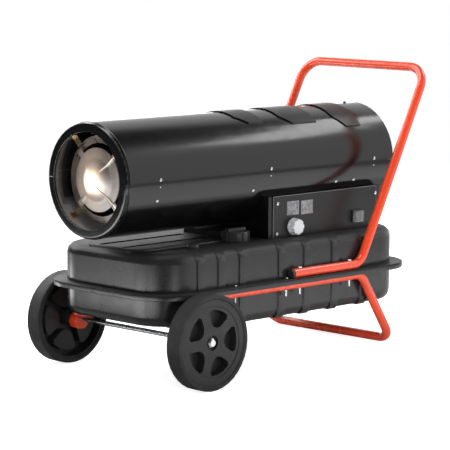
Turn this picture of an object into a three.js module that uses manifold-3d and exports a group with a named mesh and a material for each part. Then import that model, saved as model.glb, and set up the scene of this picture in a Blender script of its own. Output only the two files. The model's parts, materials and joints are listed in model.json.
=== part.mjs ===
// Oil-fired space heater on a two-wheeled cart. Millimetres, +Z up, outlet towards -X.
// The pieces are laid out level, from the middle of the wheel axle, and the whole heater then
// leans back until the foot bar of the cart stands on the same floor as the wheels.
import * as THREE from 'three';
import { mergeVertices } from 'three/addons/utils/BufferGeometryUtils.js';
import Module from 'manifold-3d';

const wasm = await Module();
wasm.setup();

// Clearances and counts of faces
const seat = 0.3;
const overrun = 5;
const weldTolerance = 0.0001;
const shellSides = 48;
const drumSides = 28;
const tyreSides = 36;
const roundSides = 20;
const smallSides = 12;
const tubeSides = 10;
const tubeBoreSides = 6;
const boreSides = 8;
const wireSides = 6;
const nutSides = 6;
const filletSteps = 3;
const cornerSteps = 6;
const bendSteps = 3;
const rampSteps = 3;

// Wheels and axle
const wheelDiameter = 230;
const wheelGap = 5;
const tyreWidth = 42;
const tyreDepth = 12;
const tyreShoulder = 2;
const axleDiameter = 12;
const hubFaceInset = 2.5;
const hubDish = 1.5;
const hubDishRadius = 88;
const hubWall = 4;
const hubBossRadius = 18;
const hubNutRadius = 11.5;
const hubNutDepth = 8;
const spokeCount = 5;
const spokeWidth = 26;
const pocketOuterRadius = 79;
const pocketInnerRadius = 38;
const pocketDepth = 24;
const pocketCorner = 8;
const pocketFlatShare = 0.4;
const nutShoulderShares = [0.7, 0.6];

// Fuel tank
const tankLength = 869;
const tankWidth = 396;
const tankCornerRadius = 100;
const tankFillet = 25;
const tankWall = 4;
const tankLift = 15.5;
const sumpSetback = 81;
const sumpCorner = 60;
const sumpReachShare = 0.25;
const sumpDepth = 14.5;
const lowerHalfDepth = 95.5;
const upperHalfHeight = 94;
const axleSetback = 101;
const flangeEndReach = 23;
const flangeLip = 3;
const flangeCornerExtra = 9;
const lowerFlange = 11.4;
const upperFlange = 2.5;
const flangeChamfer = 1;
const ribWidth = 28;
const ribRamp = 3;
const ribDepth = 4;
const ribCentreShares = [0.147, 0.226, 0.309, 0.465, 0.569, 0.687, 0.812];
const plateauLength = 400;
const plateauWidth = 200;
const plateauHeight = 5;
const plateauCorner = 48;
const plateauRim = 3;
const grooveWidth = 18;
const grooveDepth = 5;
const grooveSpacing = 82;
const grooveLength = 280;
const grooveInset = 10;
const saddleLength = 470;
const saddleWidth = 128;
const saddleHeight = 19;
const saddleSetback = 324;
const fillerRadius = 22;
const fillerWall = 5;
const fillerHeight = 14;
const fillerSetback = 334;
const fillerSide = 108;
const gaugeRadius = 15;
const gaugeHeight = 8;
const gaugeCrownShare = 0.8;
const gaugeStemRadius = 6;
const gaugeStemLength = 120;
const gaugeSetback = 166;
const gaugeSide = 132;
const drainRadius = 7;
const drainHeadRadius = 10;
const drainHeadDepth = 7;
const drainInset = 89;

// Fuel cap, its gasket and the strainer in the neck
const capRadius = 36;
const capHeight = 24;
const capWall = 3;
const capLobes = 12;
const capLobeDepth = 3;
const capGripLength = 60;
const capGripWidth = 12;
const capGripHeight = 7;
const capClear = 4;
const gasketDepth = 3;
const strainerDepth = 70;
const strainerWall = 1.5;

// Cart and handle tubes
const tubeDiameter = 23;
const tubeWall = 1.6;
const tubeToTank = 2.5;
const railNest = 1.5;
const handleNest = 0.8;
const railBendRadius = 42;
const footBendRadius = 38;
const handleBendRadius = 56;
const legTopBack = 579;
const footBack = 697;
const footDrop = 82;
const handleFootBack = 575;
const handleFootLength = 245.5;
const handleTopBack = 824;
const handleTopHeight = 609;
const plugInset = 1.2;
const plugHead = 7.5;
const plugStem = 18;
const axleTubeDrop = 18;
const cradleNose = 20;
const cradleReach = 36;
const cradleRise = 16;
const cradleDrop = 27;
const cradleShares = {
  nose: [-1, 0],
  brow: [-0.35, 1],
  armEnd: [1, 0.375],
  notch: [0.083, 0],
  chinEnd: [0.53, -0.44],
  chin: [0.33, -1],
};
const cordHoleRadius = 3.2;
const cordHoleHeights = [393, 465];
const boltRadius = 2.5;
const boltHeadRadius = 4.8;
const boltHeadDepth = 3.6;
const boltTail = 15;
const shortBoltBacks = [128, 305];
const handleBoltFront = 24.5;
const handleBoltRear = 40;

// Barrel shells
const barrelDiameter = 278.4;
const barrelLength = 939;
const barrelOverhang = 57;
const barrelLift = 27.6;
const shellSheet = 1.5;
const mouthRadius = 117;
const shoulderRadius = 8;
const mouthLip = 6;
const beadBack = 13;
const beadWidth = 5;
const beadHeight = 1.2;
const seamGap = 0.6;
const lapRise = 12;
const lapDrop = 9;
const padHeight = 3;
const padCorner = 26;
const padFrontShares = [0.466, 0.622, 0.816];
const padRearShares = [0.546, 0.74, 0.9];
const padHalfWidthShares = [0.575, 0.661, 0.776];
const serviceHoleRadius = 9;

// Base housing and control panel
const housingLength = 410;
const housingSetback = 413;
const housingHalfWidth = 144;
const housingHeight = 103;
const housingSheet = 1.5;
const panelSheet = 2;
const panelLength = 382;
const panelInset = 14;
const panelWindowMargin = 10;
const boardLength = 130;
const boardHeight = 70;
const boardSheet = 2;
const boardStandoff = 14;
const relayLength = 32;
const relayHeight = 24;
const standoffRadius = 3;
const transformerLength = 78;
const transformerWidth = 48;
const transformerHeight = 44;
const transformerFoot = 4;
const transformerFootReach = 8;
const transformerFootWidth = 32;
const knobBack = 72.5;
const knobRise = 24;
const knobRadius = 21;
const knobDepth = 20;
const knobSkirt = 4;
const knobFaceShares = [0.9, 0.96, 0.97];
const knobEdge = 2.4;
const knobLobes = 8;
const knobFluteRadius = 3.6;
const knobFluteShare = 0.95;
const knobSpindleRadius = 3;
const knobSpindleLength = 12;
const thermostatSize = 30;
const thermostatDrop = 12;
const thermostatDepth = 24;
const switchBack = 307;
const switchRise = 30;
const switchWidth = 34;
const switchHeight = 31;
const switchRim = 3;
const switchRimDepth = 3;
const switchBodyDepth = 24;
const switchBodyProud = 1;
const rockerThrow = 7;
const rockerBackShare = 0.8;
const rockerDishShare = 0.6;
const coverDepth = 8;
const coverWall = 1;
const coverInset = 1.6;
const glandRadius = 10;
const glandLength = 20;
const glandThroatShares = [0.7, 0.4];
const glandNutShares = [0.4, 0.6, 0.75];
const glandSide = 80;
const glandRise = 26;

// Combustion chamber and burner
const chamberRadius = 106;
const chamberSheet = 1.5;
const chamberBack = 45;
const chamberLength = 430;
const chamberConeLength = 55;
const chamberTailRadius = 62;
const chamberRingWidth = 18;
const baffleRadius = 77;
const baffleLead = 12;
const baffleRimLift = 3;
const baffleDomeRadius = 43;
const baffleDomeHeight = 15;
const baffleDomeShares = [[0.5, 0.8], [0.9, 0.3]];
const baffleTabs = 4;
const baffleTabWidth = 16;
const baffleTabTurn = 45;
const baffleTabRoot = 8;
const baffleTabSeat = 13;
const baffleToe = 11;
const bracketWidth = 16;
const bracketFoot = 14;
const bracketSheet = 2;
const bracketSetback = 6;
const bracketTurns = [44, 136, 224, 316];
const headRadius = 42;
const headDepth = 44;
const headThroatShare = 0.55;
const headSlots = 6;
const headSlotWidth = 8;
const headSlotLength = 15;
const headSlotRadius = 26;
const nozzleRadius = 9;
const nozzleLength = 46;
const nozzleRearShare = 0.4;
const nozzleNoseShares = [0.3, 0.8];
const nozzleNoseLength = 11.5;
const collarRadius = 14.4;
const collarDepth = 7;
const electrodeRadius = 4;
const electrodeLength = 52;
const electrodeSetback = 28.6;
const electrodeWireRadius = 1.3;
const electrodeWireLength = 13;
const electrodeReach = 28;
const electrodeTurn = 30;
const photocellRadius = 7;
const photocellLength = 30;
const photocellRise = 30.2;
const armCount = 3;
const armSheet = 3;
const armWidth = 22;
const armTurn = 90;

// Fan, motor and air pump
const motorRadius = 52;
const motorLength = 120;
const motorBack = 650;
const motorRibs = 12;
const motorRibDepth = 3;
const motorRibLength = 84;
const motorNose = 14;
const motorNoseShare = 0.6;
const shaftRadius = 5;
const fanBack = 605;
const fanDepth = 34;
const fanRadius = 122;
const fanHubRadius = 22;
const fanBlades = 5;
const fanBladeSheet = 2;
const fanRootPitch = 48;
const fanTipPitch = 26;
const fanBladeSteps = 4;
const fanRootWidth = 28;
const fanTipWidth = 84;
const fanTipRound = 14;
const pumpRadius = 46;
const pumpDepth = 26;
const pumpCoverDepth = 24;
const pumpCoverEdge = 7;
const pumpRotorRadius = 28;
const guardWire = 2.2;
const guardInset = 8;
const guardRings = 4;
const guardSpokes = 4;
const guardEyeRadius = 20;
const lineRadius = 3;
const lineBendRadius = 14;

// Places that follow from the sizes above
const wheelRadius = wheelDiameter / 2;
const standRadius = wheelRadius * Math.cos(Math.PI / tyreSides);
const rimRadius = wheelRadius - tyreDepth;
const tubeRadius = tubeDiameter / 2;
const tankFront = -axleSetback;
const tankRear = tankFront + tankLength;
const tankBottom = tankLift;
const seamHeight = tankBottom + lowerHalfDepth;
const deckHeight = seamHeight + upperHalfHeight;
const flangeTop = seamHeight + seat + upperFlange;
const tubeSide = tankWidth / 2 + tubeToTank + tubeRadius;
const wheelSide = tubeSide + tubeRadius + wheelGap + tyreWidth / 2;
const railHeight = seamHeight - railNest - tubeRadius;
const handleFootHeight = flangeTop - handleNest + seat + tubeRadius;
const handleFootFront = handleFootBack - handleFootLength;
const longBoltBacks = [handleFootFront + handleBoltFront, handleFootBack - handleBoltRear];
const barrelRadius = barrelDiameter / 2;
const barrelInner = barrelRadius - shellSheet;
const shellClearRadius = barrelInner * Math.cos(Math.PI / shellSides) - seat;
const barrelAxis = deckHeight + barrelLift + barrelRadius;
const barrelFront = tankFront - barrelOverhang;
const barrelRear = barrelFront + barrelLength;
const plateauFront = tankFront + tankFillet / 2;
const plateauTop = deckHeight + plateauHeight;
const saddleFront = tankFront + saddleSetback;
const saddleTop = deckHeight + saddleHeight;
const fillerX = tankFront + fillerSetback;
const gaugeX = tankFront + gaugeSetback;
const drainX = tankRear - drainInset;
const housingFront = tankFront + housingSetback;
const housingRear = housingFront + housingLength;
const housingBottom = deckHeight + seat;
const housingTop = housingBottom + housingHeight;
const glandHeight = housingBottom + glandRise;
const panelFront = housingFront + panelInset;
const panelBottom = housingBottom;
const panelTop = housingTop;
const panelBackFace = -housingHalfWidth - seat;
const panelFace = panelBackFace - panelSheet;
const knobX = panelFront + knobBack;
const knobZ = panelBottom + knobRise;
const switchX = panelFront + switchBack;
const switchZ = panelBottom + switchRise;
const chamberFront = barrelFront + chamberBack;
const chamberRear = chamberFront + chamberLength;
const motorFront = tankFront + motorBack;
const motorRear = motorFront + motorLength;
const fanFront = tankFront + fanBack;
const pumpFront = motorRear + seat;
const pumpRear = pumpFront + pumpDepth;
const headFront = chamberRear - chamberConeLength / 2;
const headRear = headFront + headDepth + chamberConeLength / 2;
const nozzleRear = headRear + nozzleLength * nozzleRearShare;
const fuelLineBack = nozzleRear + lineBendRadius * 2;
const sides = { left: 1, right: -1 };

// Finishes
function finish(color, roughness, metalness) {
  return new THREE.MeshStandardMaterial({ color, roughness, metalness, flatShading: true });
}
const finishes = {
  blackPaint: finish(0x17181a, 0.38, 0.2),
  tankBlack: finish(0x2c2d2f, 0.5, 0),
  redTube: finish(0xe2401f, 0.3, 0.1),
  zinc: finish(0xc3c5c6, 0.35, 0.9),
  tyreBlack: finish(0x2b2c2d, 0.85, 0),
  hubBlack: finish(0x333435, 0.6, 0),
  stainless: finish(0xb9aca3, 0.3, 0.9),
  goldZinc: finish(0xb99a66, 0.4, 0.8),
  greyPlastic: finish(0xcfd1d2, 0.5, 0),
  darkPlastic: finish(0x202122, 0.45, 0),
  clearPlastic: finish(0xd8dadb, 0.15, 0),
  circuitGreen: finish(0x2a5a3a, 0.5, 0),
  castMetal: finish(0x8d9092, 0.5, 0.8),
  ceramic: finish(0xe8e4da, 0.3, 0),
  copper: finish(0xb46a3c, 0.35, 0.9),
  rubber: finish(0x1b1b1b, 0.8, 0),
};

// A closed geometry as a solid: shared corners are welded and slivers at a pole are dropped.
function toSolid(geometry) {
  const bare = new THREE.BufferGeometry();
  bare.setAttribute('position', geometry.getAttribute('position').clone());
  if (geometry.index) bare.setIndex(geometry.index.clone());
  const welded = mergeVertices(bare, weldTolerance);
  const corners = welded.index.array;
  const kept = [];
  for (let i = 0; i < corners.length; i += 3) {
    const [a, b, c] = [corners[i], corners[i + 1], corners[i + 2]];
    if (a !== b && b !== c && c !== a) kept.push(a, b, c);
  }
  const vertProperties = new Float32Array(welded.getAttribute('position').array);
  const make = (triVerts) => new wasm.Manifold(new wasm.Mesh({ numProp: 3, vertProperties, triVerts }));
  const made = make(Uint32Array.from(kept));
  return made.volume() < 0 ? make(Uint32Array.from(kept.reverse())) : made;
}

function named(name, solid, material) {
  const { vertProperties, triVerts } = solid.getMesh();
  const geometry = new THREE.BufferGeometry();
  geometry.setAttribute('position', new THREE.BufferAttribute(vertProperties, 3));
  geometry.setIndex(new THREE.BufferAttribute(triVerts, 1));
  geometry.computeVertexNormals();
  const mesh = new THREE.Mesh(geometry, material);
  mesh.name = name;
  return mesh;
}

function join(...solids) {
  return solids.reduce((sum, next) => sum.add(next));
}

function cut(body, ...tools) {
  return tools.reduce((left, tool) => left.subtract(tool), body);
}

// Turns a geometry made along +Y so that it runs along another axis.
function alongAxis(geometry, axis) {
  if (axis === 'x') geometry.rotateZ(-Math.PI / 2);
  if (axis === 'z') geometry.rotateX(Math.PI / 2);
  return geometry;
}

function box(x0, x1, y0, y1, z0, z1) {
  const geometry = new THREE.BoxGeometry(x1 - x0, y1 - y0, z1 - z0);
  geometry.translate((x0 + x1) / 2, (y0 + y1) / 2, (z0 + z1) / 2);
  return toSolid(geometry);
}

// The radius of a polygon whose flats clear a round piece of the given radius.
function flatsClear(radius, count = roundSides) {
  return radius / Math.cos(Math.PI / count);
}

// A round bar from one coordinate to another along an axis; a and b are its other two coordinates.
function rod(axis, radius, from, to, a, b, count = roundSides) {
  const geometry = new THREE.CylinderGeometry(radius, radius, to - from, count, 1, false, Math.PI / count);
  alongAxis(geometry, axis);
  const middle = (from + to) / 2;
  if (axis === 'x') geometry.translate(middle, a, b);
  if (axis === 'y') geometry.translate(a, middle, b);
  if (axis === 'z') geometry.translate(a, b, middle);
  return toSolid(geometry);
}

// A turned piece: the profile lists [radius, place along the axis] and closes on itself.
function turned(axis, profile, a, b, count) {
  const points = profile.map(([radius, along]) => new THREE.Vector2(radius, along));
  points.push(points[0].clone());
  const geometry = new THREE.LatheGeometry(points, count, Math.PI / count);
  alongAxis(geometry, axis);
  if (axis === 'x') geometry.translate(0, a, b);
  if (axis === 'y') geometry.translate(a, 0, b);
  if (axis === 'z') geometry.translate(a, b, 0);
  return toSolid(geometry);
}

function pipe(axis, outer, inner, from, to, a, b, count = roundSides) {
  return turned(axis, [[inner, from], [outer, from], [outer, to], [inner, to]], a, b, count);
}

function ringPoints(radius, count) {
  const points = [];
  for (let i = 0; i < count; i += 1) {
    const turn = (2 * Math.PI * (i + 0.5)) / count;
    points.push(new THREE.Vector2(radius * Math.cos(turn), radius * Math.sin(turn)));
  }
  return points;
}

function roundedOutline(x0, x1, y0, y1, radius) {
  const shape = new THREE.Shape();
  shape.moveTo(x0 + radius, y0);
  shape.absarc(x1 - radius, y0 + radius, radius, -Math.PI / 2, 0);
  shape.absarc(x1 - radius, y1 - radius, radius, 0, Math.PI / 2);
  shape.absarc(x0 + radius, y1 - radius, radius, Math.PI / 2, Math.PI);
  shape.absarc(x0 + radius, y0 + radius, radius, Math.PI, Math.PI * 1.5);
  return new THREE.Shape(tidyPoints(shape.getPoints(cornerSteps / 2)));
}

// An outline's points without the doubled ones where an arc meets a straight.
function tidyPoints(points) {
  const next = (i) => points[(i + 1) % points.length];
  const clear = points.filter((point, i) => point.distanceTo(next(i)) > weldTolerance);
  return clear;
}

// An upright block with a flat outline, from one height to another, with rounded or chamfered rims.
function block(outline, z0, z1, rim = 0, steps = filletSteps) {
  const options = { depth: z1 - z0 - 2 * rim, steps: 1, bevelEnabled: rim > 0 };
  if (rim > 0) {
    options.bevelThickness = rim;
    options.bevelSize = rim;
    options.bevelOffset = -rim;
    options.bevelSegments = steps;
  }
  const geometry = new THREE.ExtrudeGeometry(outline, options);
  geometry.translate(0, 0, z0 + rim);
  return toSolid(geometry);
}

// A flat outline drawn in X and Z, from one Y to another.
function sideBlock(outline, y0, y1) {
  const geometry = new THREE.ExtrudeGeometry(outline, { depth: y1 - y0, steps: 1, bevelEnabled: false });
  geometry.rotateX(Math.PI / 2);
  geometry.translate(0, y1, 0);
  return toSolid(geometry);
}

function polygon(points) {
  return new THREE.Shape(points.map(([x, y]) => new THREE.Vector2(x, y)));
}

// The centre line of a bent tube: straight runs between corners, with a round bend at each.
class BentLine extends THREE.Curve {
  constructor(corners, bendRadius) {
    super();
    this.stations = [];
    const points = corners.map((corner) => new THREE.Vector3(...corner));
    const last = points.length - 1;
    this.addStation(points[0], points[1].clone().sub(points[0]));
    for (let i = 1; i < last; i += 1) {
      this.addBend(points[i - 1], points[i], points[i + 1], bendRadius[i - 1]);
    }
    this.addStation(points[last], points[last].clone().sub(points[last - 1]));
  }

  addStation(point, direction) {
    this.stations.push({ point: point.clone(), tangent: direction.clone().normalize() });
  }

  addBend(before, corner, after, radius) {
    const arriving = corner.clone().sub(before).normalize();
    const leaving = after.clone().sub(corner).normalize();
    const turn = arriving.angleTo(leaving);
    const setback = radius * Math.tan(turn / 2);
    const start = corner.clone().addScaledVector(arriving, -setback);
    const axis = arriving.clone().cross(leaving).normalize();
    const inward = axis.clone().cross(arriving).normalize();
    const centre = start.clone().addScaledVector(inward, radius);
    for (let i = 0; i <= bendSteps; i += 1) {
      const part = (turn * i) / bendSteps;
      const spoke = start.clone().sub(centre).applyAxisAngle(axis, part);
      this.addStation(centre.clone().add(spoke), arriving.clone().applyAxisAngle(axis, part));
    }
  }

  get runs() {
    return this.stations.length - 1;
  }

  getPoint(share, target = new THREE.Vector3()) {
    return target.copy(this.stations[Math.round(share * this.runs)].point);
  }

  getPointAt(share, target) {
    return this.getPoint(share, target);
  }

  getTangentAt(share, target = new THREE.Vector3()) {
    return target.copy(this.stations[Math.round(share * this.runs)].tangent);
  }
}

function bentTube(corners, bendRadii, radius, wall, count = tubeSides) {
  const line = new BentLine(corners, bendRadii);
  const section = new THREE.Shape(ringPoints(radius, count));
  if (wall > 0) section.holes.push(new THREE.Path(ringPoints(radius - wall, tubeBoreSides)));
  const sweep = { steps: line.runs, extrudePath: line, bevelEnabled: false };
  return toSolid(new THREE.ExtrudeGeometry(section, sweep));
}

// Fuel tank: two moulded halves with a flange all round, ribbed sides and a grooved deck
function tankOutline(inset) {
  const half = tankWidth / 2 - inset;
  return roundedOutline(tankFront + inset, tankRear - inset, -half, half, tankCornerRadius - inset);
}

// The tank's body with its deeper sump, which starts behind the axle; the inset gives its inside.
function tankBody(inset, ceiling) {
  const fillet = tankFillet - inset;
  const outline = tankOutline(inset);
  const half = tankWidth / 2 + sumpCorner * sumpReachShare;
  const front = tankFront + sumpSetback + inset;
  const sump = block(outline, tankBottom + inset, ceiling, fillet);
  const reach = roundedOutline(front, tankRear + sumpCorner, -half, half, sumpCorner);
  const deep = sump.intersect(block(reach, tankBottom + inset, ceiling + tankFillet, fillet));
  return join(block(outline, tankBottom + sumpDepth + inset, ceiling, fillet), deep);
}

// Seen from above, each rib swells out of the wall over a soft ramp and sinks back over another.
function ribPlan(centre, side) {
  const reach = tankWidth / 2;
  const root = side * (reach - tankFillet - ribDepth);
  const half = ribWidth / 2;
  const points = [[centre + half, root], [centre - half, root]];
  for (let i = 0; i <= rampSteps; i += 1) {
    const share = i / rampSteps;
    points.push([centre - half + ribRamp * share, side * (reach + ribSwell(share))]);
  }
  for (let i = rampSteps; i >= 0; i -= 1) {
    const share = i / rampSteps;
    points.push([centre + half - ribRamp * share, side * (reach + ribSwell(share))]);
  }
  return polygon(points);
}

function ribSwell(share) {
  return (ribDepth * (1 - Math.cos(Math.PI * share))) / 2;
}

function tankRibs() {
  const bulge = tankBody(-ribDepth, deckHeight);
  const ribs = [];
  for (const share of ribCentreShares) {
    const centre = tankFront + share * tankLength;
    for (const side of [-1, 1]) {
      ribs.push(block(ribPlan(centre, side), tankBottom, deckHeight).intersect(bulge));
    }
  }
  return ribs;
}

function saddleBlock(inset, top) {
  const half = saddleWidth / 2 - inset;
  const front = saddleFront + inset;
  const rear = saddleFront + saddleLength - inset;
  return box(front, rear, -half, half, seamHeight + tankFillet, top);
}

// The raised middle of the deck, with a round clearing for the fuel cap and two long grooves.
function deckPlateau(inset, top) {
  const half = plateauWidth / 2 - inset;
  const front = plateauFront + inset;
  const rear = plateauFront + plateauLength - inset;
  const outline = roundedOutline(front, rear, -half, half, plateauCorner - inset);
  const slab = block(outline, seamHeight + tankFillet, top, plateauRim, 1);
  const clearing = capRadius + capClear + inset;
  const base = deckHeight - inset;
  const round = rod('z', clearing, base, plateauTop + overrun, fillerX, -fillerSide, drumSides);
  const grooves = [-1, 1].map((side) => {
    const middle = (side * grooveSpacing) / 2;
    const reach = grooveWidth / 2 + inset;
    const start = plateauFront + grooveInset - inset;
    const end = start + grooveLength + inset * 2;
    const groove = roundedOutline(start, end, middle - reach, middle + reach, reach);
    return block(groove, plateauTop - grooveDepth - inset, plateauTop + overrun);
  });
  return cut(slab, round, ...grooves);
}

function tankFlange(bottom, top) {
  const half = tubeSide + tubeRadius + seat + flangeLip;
  const radius = tankCornerRadius + flangeCornerExtra;
  const outline = roundedOutline(tankFront - flangeEndReach, tankRear + flangeEndReach, -half, half, radius);
  return block(outline, bottom, top, flangeChamfer, 1);
}

function tankParts() {
  const far = tankLength * 2;
  const skin = join(tankBody(0, deckHeight), ...tankRibs());
  const hollow = tankBody(tankWall, deckHeight - tankWall);
  const below = box(-far, far, -far, far, tankBottom - overrun, seamHeight);
  const above = box(-far, far, -far, far, seamHeight + seat, deckHeight + overrun);
  const bolts = boltHoles();

  const drainFrom = tankBottom - overrun;
  const drainTo = tankBottom + tankWall * 2;
  const drainHole = rod('z', drainRadius + seat, drainFrom, drainTo, drainX, 0, smallSides);
  const railBed = cartTube(tubeRadius + seat, 0);
  const lowerRim = tankFlange(seamHeight - lowerFlange, seamHeight);
  const lower = cut(join(skin.intersect(below), lowerRim), hollow, railBed, drainHole, ...bolts);

  const inDeck = deckHeight - tankFillet;
  const neckBottom = deckHeight - tankWall;
  const neckTop = deckHeight + fillerHeight;
  const neck = rod('z', fillerRadius + fillerWall, neckBottom, neckTop, fillerX, -fillerSide);
  const neckBore = rod('z', fillerRadius, inDeck, deckHeight + capHeight, fillerX, -fillerSide);
  const gaugeBore = gaugeStemRadius + seat;
  const gaugeHole = rod('z', gaugeBore, inDeck, plateauTop, gaugeX, -gaugeSide, smallSides);
  const pickUp = rod('z', lineRadius + seat, inDeck, saddleTop + overrun, fuelLineBack, 0, boreSides);
  const footBed = handleTube(tubeRadius + seat, 0);
  const deck = [saddleBlock(0, saddleTop), deckPlateau(0, plateauTop), neck];
  const deckHollow = [
    saddleBlock(tankWall, saddleTop - tankWall),
    deckPlateau(tankWall, plateauTop - tankWall),
  ];
  const shell = join(skin.intersect(above), tankFlange(seamHeight + seat, flangeTop), ...deck);
  const upper = cut(shell, hollow, ...deckHollow, neckBore, gaugeHole, pickUp, footBed, ...bolts);
  return [
    named('tank_lower_half', lower, finishes.tankBlack),
    named('tank_upper_half', upper, finishes.tankBlack),
  ];
}

function drainPlug() {
  const under = tankBottom - seat;
  const head = rod('z', drainHeadRadius, under - drainHeadDepth, under, drainX, 0, nutSides);
  const top = tankBottom + tankWall * 2;
  const shank = rod('z', drainRadius, under - drainHeadDepth / 2, top, drainX, 0, smallSides);
  return named('drain_plug', join(head, shank), finishes.zinc);
}

function fuelGauge() {
  const base = deckHeight + seat;
  const profile = [
    [0, base],
    [gaugeRadius, base],
    [gaugeRadius, base + gaugeHeight / 2],
    [gaugeRadius * gaugeCrownShare, base + gaugeHeight],
    [0, base + gaugeHeight],
  ];
  const dial = turned('z', profile, gaugeX, -gaugeSide, roundSides);
  const stemTop = base + gaugeHeight / 2;
  const stem = rod('z', gaugeStemRadius, base - gaugeStemLength, stemTop, gaugeX, -gaugeSide, smallSides);
  return named('fuel_gauge', join(dial, stem), finishes.darkPlastic);
}

// The cap screws over the neck; its gasket lies inside and the strainer basket hangs below it.
function fillerParts() {
  const neckTop = deckHeight + fillerHeight;
  const neckRadius = fillerRadius + fillerWall;
  const capBottom = deckHeight + seat;
  const capTop = capBottom + capHeight;
  const gasketTop = neckTop + seat + gasketDepth;
  const flutes = [];
  for (let i = 0; i < capLobes; i += 1) {
    const turn = (2 * Math.PI * (i + 0.5)) / capLobes;
    const x = fillerX + capRadius * Math.cos(turn);
    const y = -fillerSide + capRadius * Math.sin(turn);
    flutes.push(rod('z', capLobeDepth, capBottom - overrun, capTop + overrun, x, y, boreSides));
  }
  const dome = turned('z', [
    [0, capBottom],
    [capRadius, capBottom],
    [capRadius, capTop - capWall],
    [capRadius - capWall, capTop],
    [0, capTop],
  ], fillerX, -fillerSide, drumSides);
  const bar = box(
    fillerX - capGripLength / 2,
    fillerX + capGripLength / 2,
    -fillerSide - capGripWidth / 2,
    -fillerSide + capGripWidth / 2,
    capTop - capWall,
    capTop + capGripHeight,
  );
  const wellRadius = flatsClear(neckRadius + seat);
  const well = rod('z', wellRadius, capBottom - overrun, gasketTop + seat, fillerX, -fillerSide);
  const cap = join(cut(dome, well, ...flutes), bar);
  const gasket = pipe('z', neckRadius, fillerRadius, neckTop + seat, gasketTop, fillerX, -fillerSide);
  const basketRadius = fillerRadius - seat;
  const floor = neckTop - strainerDepth;
  const basket = turned('z', [
    [0, floor],
    [basketRadius, floor],
    [basketRadius, neckTop - strainerWall],
    [basketRadius - strainerWall, neckTop - strainerWall],
    [basketRadius - strainerWall, floor + strainerWall],
    [0, floor + strainerWall],
  ], fillerX, -fillerSide, roundSides);
  return [
    named('fuel_cap', cap, finishes.darkPlastic),
    named('cap_gasket', gasket, finishes.rubber),
    named('fuel_strainer', basket, finishes.greyPlastic),
  ];
}

// Cart frame and handle: two bent steel tubes bolted to the tank's flange from below and above
function boltHoles() {
  const low = railHeight - tubeDiameter - overrun;
  const high = handleFootHeight + tubeDiameter + overrun;
  const holes = [];
  for (const x of [...shortBoltBacks, ...longBoltBacks]) {
    for (const side of [-1, 1]) {
      holes.push(rod('z', boltRadius + seat, low, high, x, side * tubeSide, wireSides));
    }
  }
  return holes;
}

function cartTube(radius, wall) {
  const corners = [
    [0, -tubeSide, -axleTubeDrop],
    [0, -tubeSide, railHeight],
    [legTopBack, -tubeSide, railHeight],
    [footBack, -tubeSide, -footDrop],
    [footBack, tubeSide, -footDrop],
    [legTopBack, tubeSide, railHeight],
    [0, tubeSide, railHeight],
    [0, tubeSide, -axleTubeDrop],
  ];
  const railBends = [railBendRadius, railBendRadius];
  const bends = [...railBends, footBendRadius, footBendRadius, ...railBends];
  return bentTube(corners, bends, radius, wall);
}

function handleTube(radius, wall) {
  const corners = [
    [handleFootFront, -tubeSide, handleFootHeight],
    [handleFootBack, -tubeSide, handleFootHeight],
    [handleTopBack, -tubeSide, handleTopHeight],
    [handleTopBack, tubeSide, handleTopHeight],
    [handleFootBack, tubeSide, handleFootHeight],
    [handleFootFront, tubeSide, handleFootHeight],
  ];
  const bends = [railBendRadius, handleBendRadius, handleBendRadius, railBendRadius];
  return bentTube(corners, bends, radius, wall);
}

// A forked plate welded across the foot of each front leg, with the axle lying in its notch.
function axleCradle(side) {
  const outline = polygon(Object.values(cradleShares).map(([along, up]) => [
    along * (along < 0 ? cradleNose : cradleReach),
    up * (up < 0 ? cradleDrop : cradleRise),
  ]));
  const middle = side * tubeSide;
  return sideBlock(outline, middle - tubeRadius, middle + tubeRadius);
}

function cartFrame() {
  const tube = cartTube(tubeRadius, tubeWall);
  const axleHole = rod('y', axleDiameter / 2 + seat, -wheelSide, wheelSide, 0, 0);
  const frame = cut(join(tube, axleCradle(-1), axleCradle(1)), axleHole, ...boltHoles());
  return named('cart_frame', frame, finishes.redTube);
}

function handleFrame() {
  const slope = (handleTopBack - handleFootBack) / (handleTopHeight - handleFootHeight);
  const holes = cordHoleHeights.map((z) => {
    const x = handleFootBack + (z - handleFootHeight) * slope;
    return rod('y', cordHoleRadius, -wheelSide, wheelSide, x, z, boreSides);
  });
  const frame = cut(handleTube(tubeRadius, tubeWall), ...holes, ...boltHoles());
  return named('handle_frame', frame, finishes.redTube);
}

// Plugs in the open front ends of the handle's feet
function handlePlugs() {
  const bore = (tubeRadius - tubeWall) * Math.cos(Math.PI / tubeBoreSides) - seat;
  const face = handleFootFront - seat;
  return Object.entries(sides).map(([word, side]) => {
    const y = side * tubeSide;
    const head = rod('x', tubeRadius - plugInset, face - plugHead, face, y, handleFootHeight);
    const stem = rod('x', bore, face - plugHead / 2, face + plugStem, y, handleFootHeight, smallSides);
    return named(`handle_plug_${word}`, join(head, stem), finishes.darkPlastic);
  });
}

function frameBolts() {
  const tail = railHeight - tubeRadius - boltTail;
  const places = [
    ...shortBoltBacks.map((x) => [x, flangeTop + seat]),
    ...longBoltBacks.map((x) => [x, handleFootHeight + tubeRadius + seat]),
  ];
  return Object.entries(sides).flatMap(([word, side]) => places.map(([x, under], i) => {
    const y = side * tubeSide;
    const head = rod('z', boltHeadRadius, under, under + boltHeadDepth, x, y, nutSides);
    const shank = rod('z', boltRadius, tail, under + boltHeadDepth / 2, x, y, wireSides);
    return named(`frame_bolt_${word}_${i + 1}`, join(head, shank), finishes.zinc);
  }));
}

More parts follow.
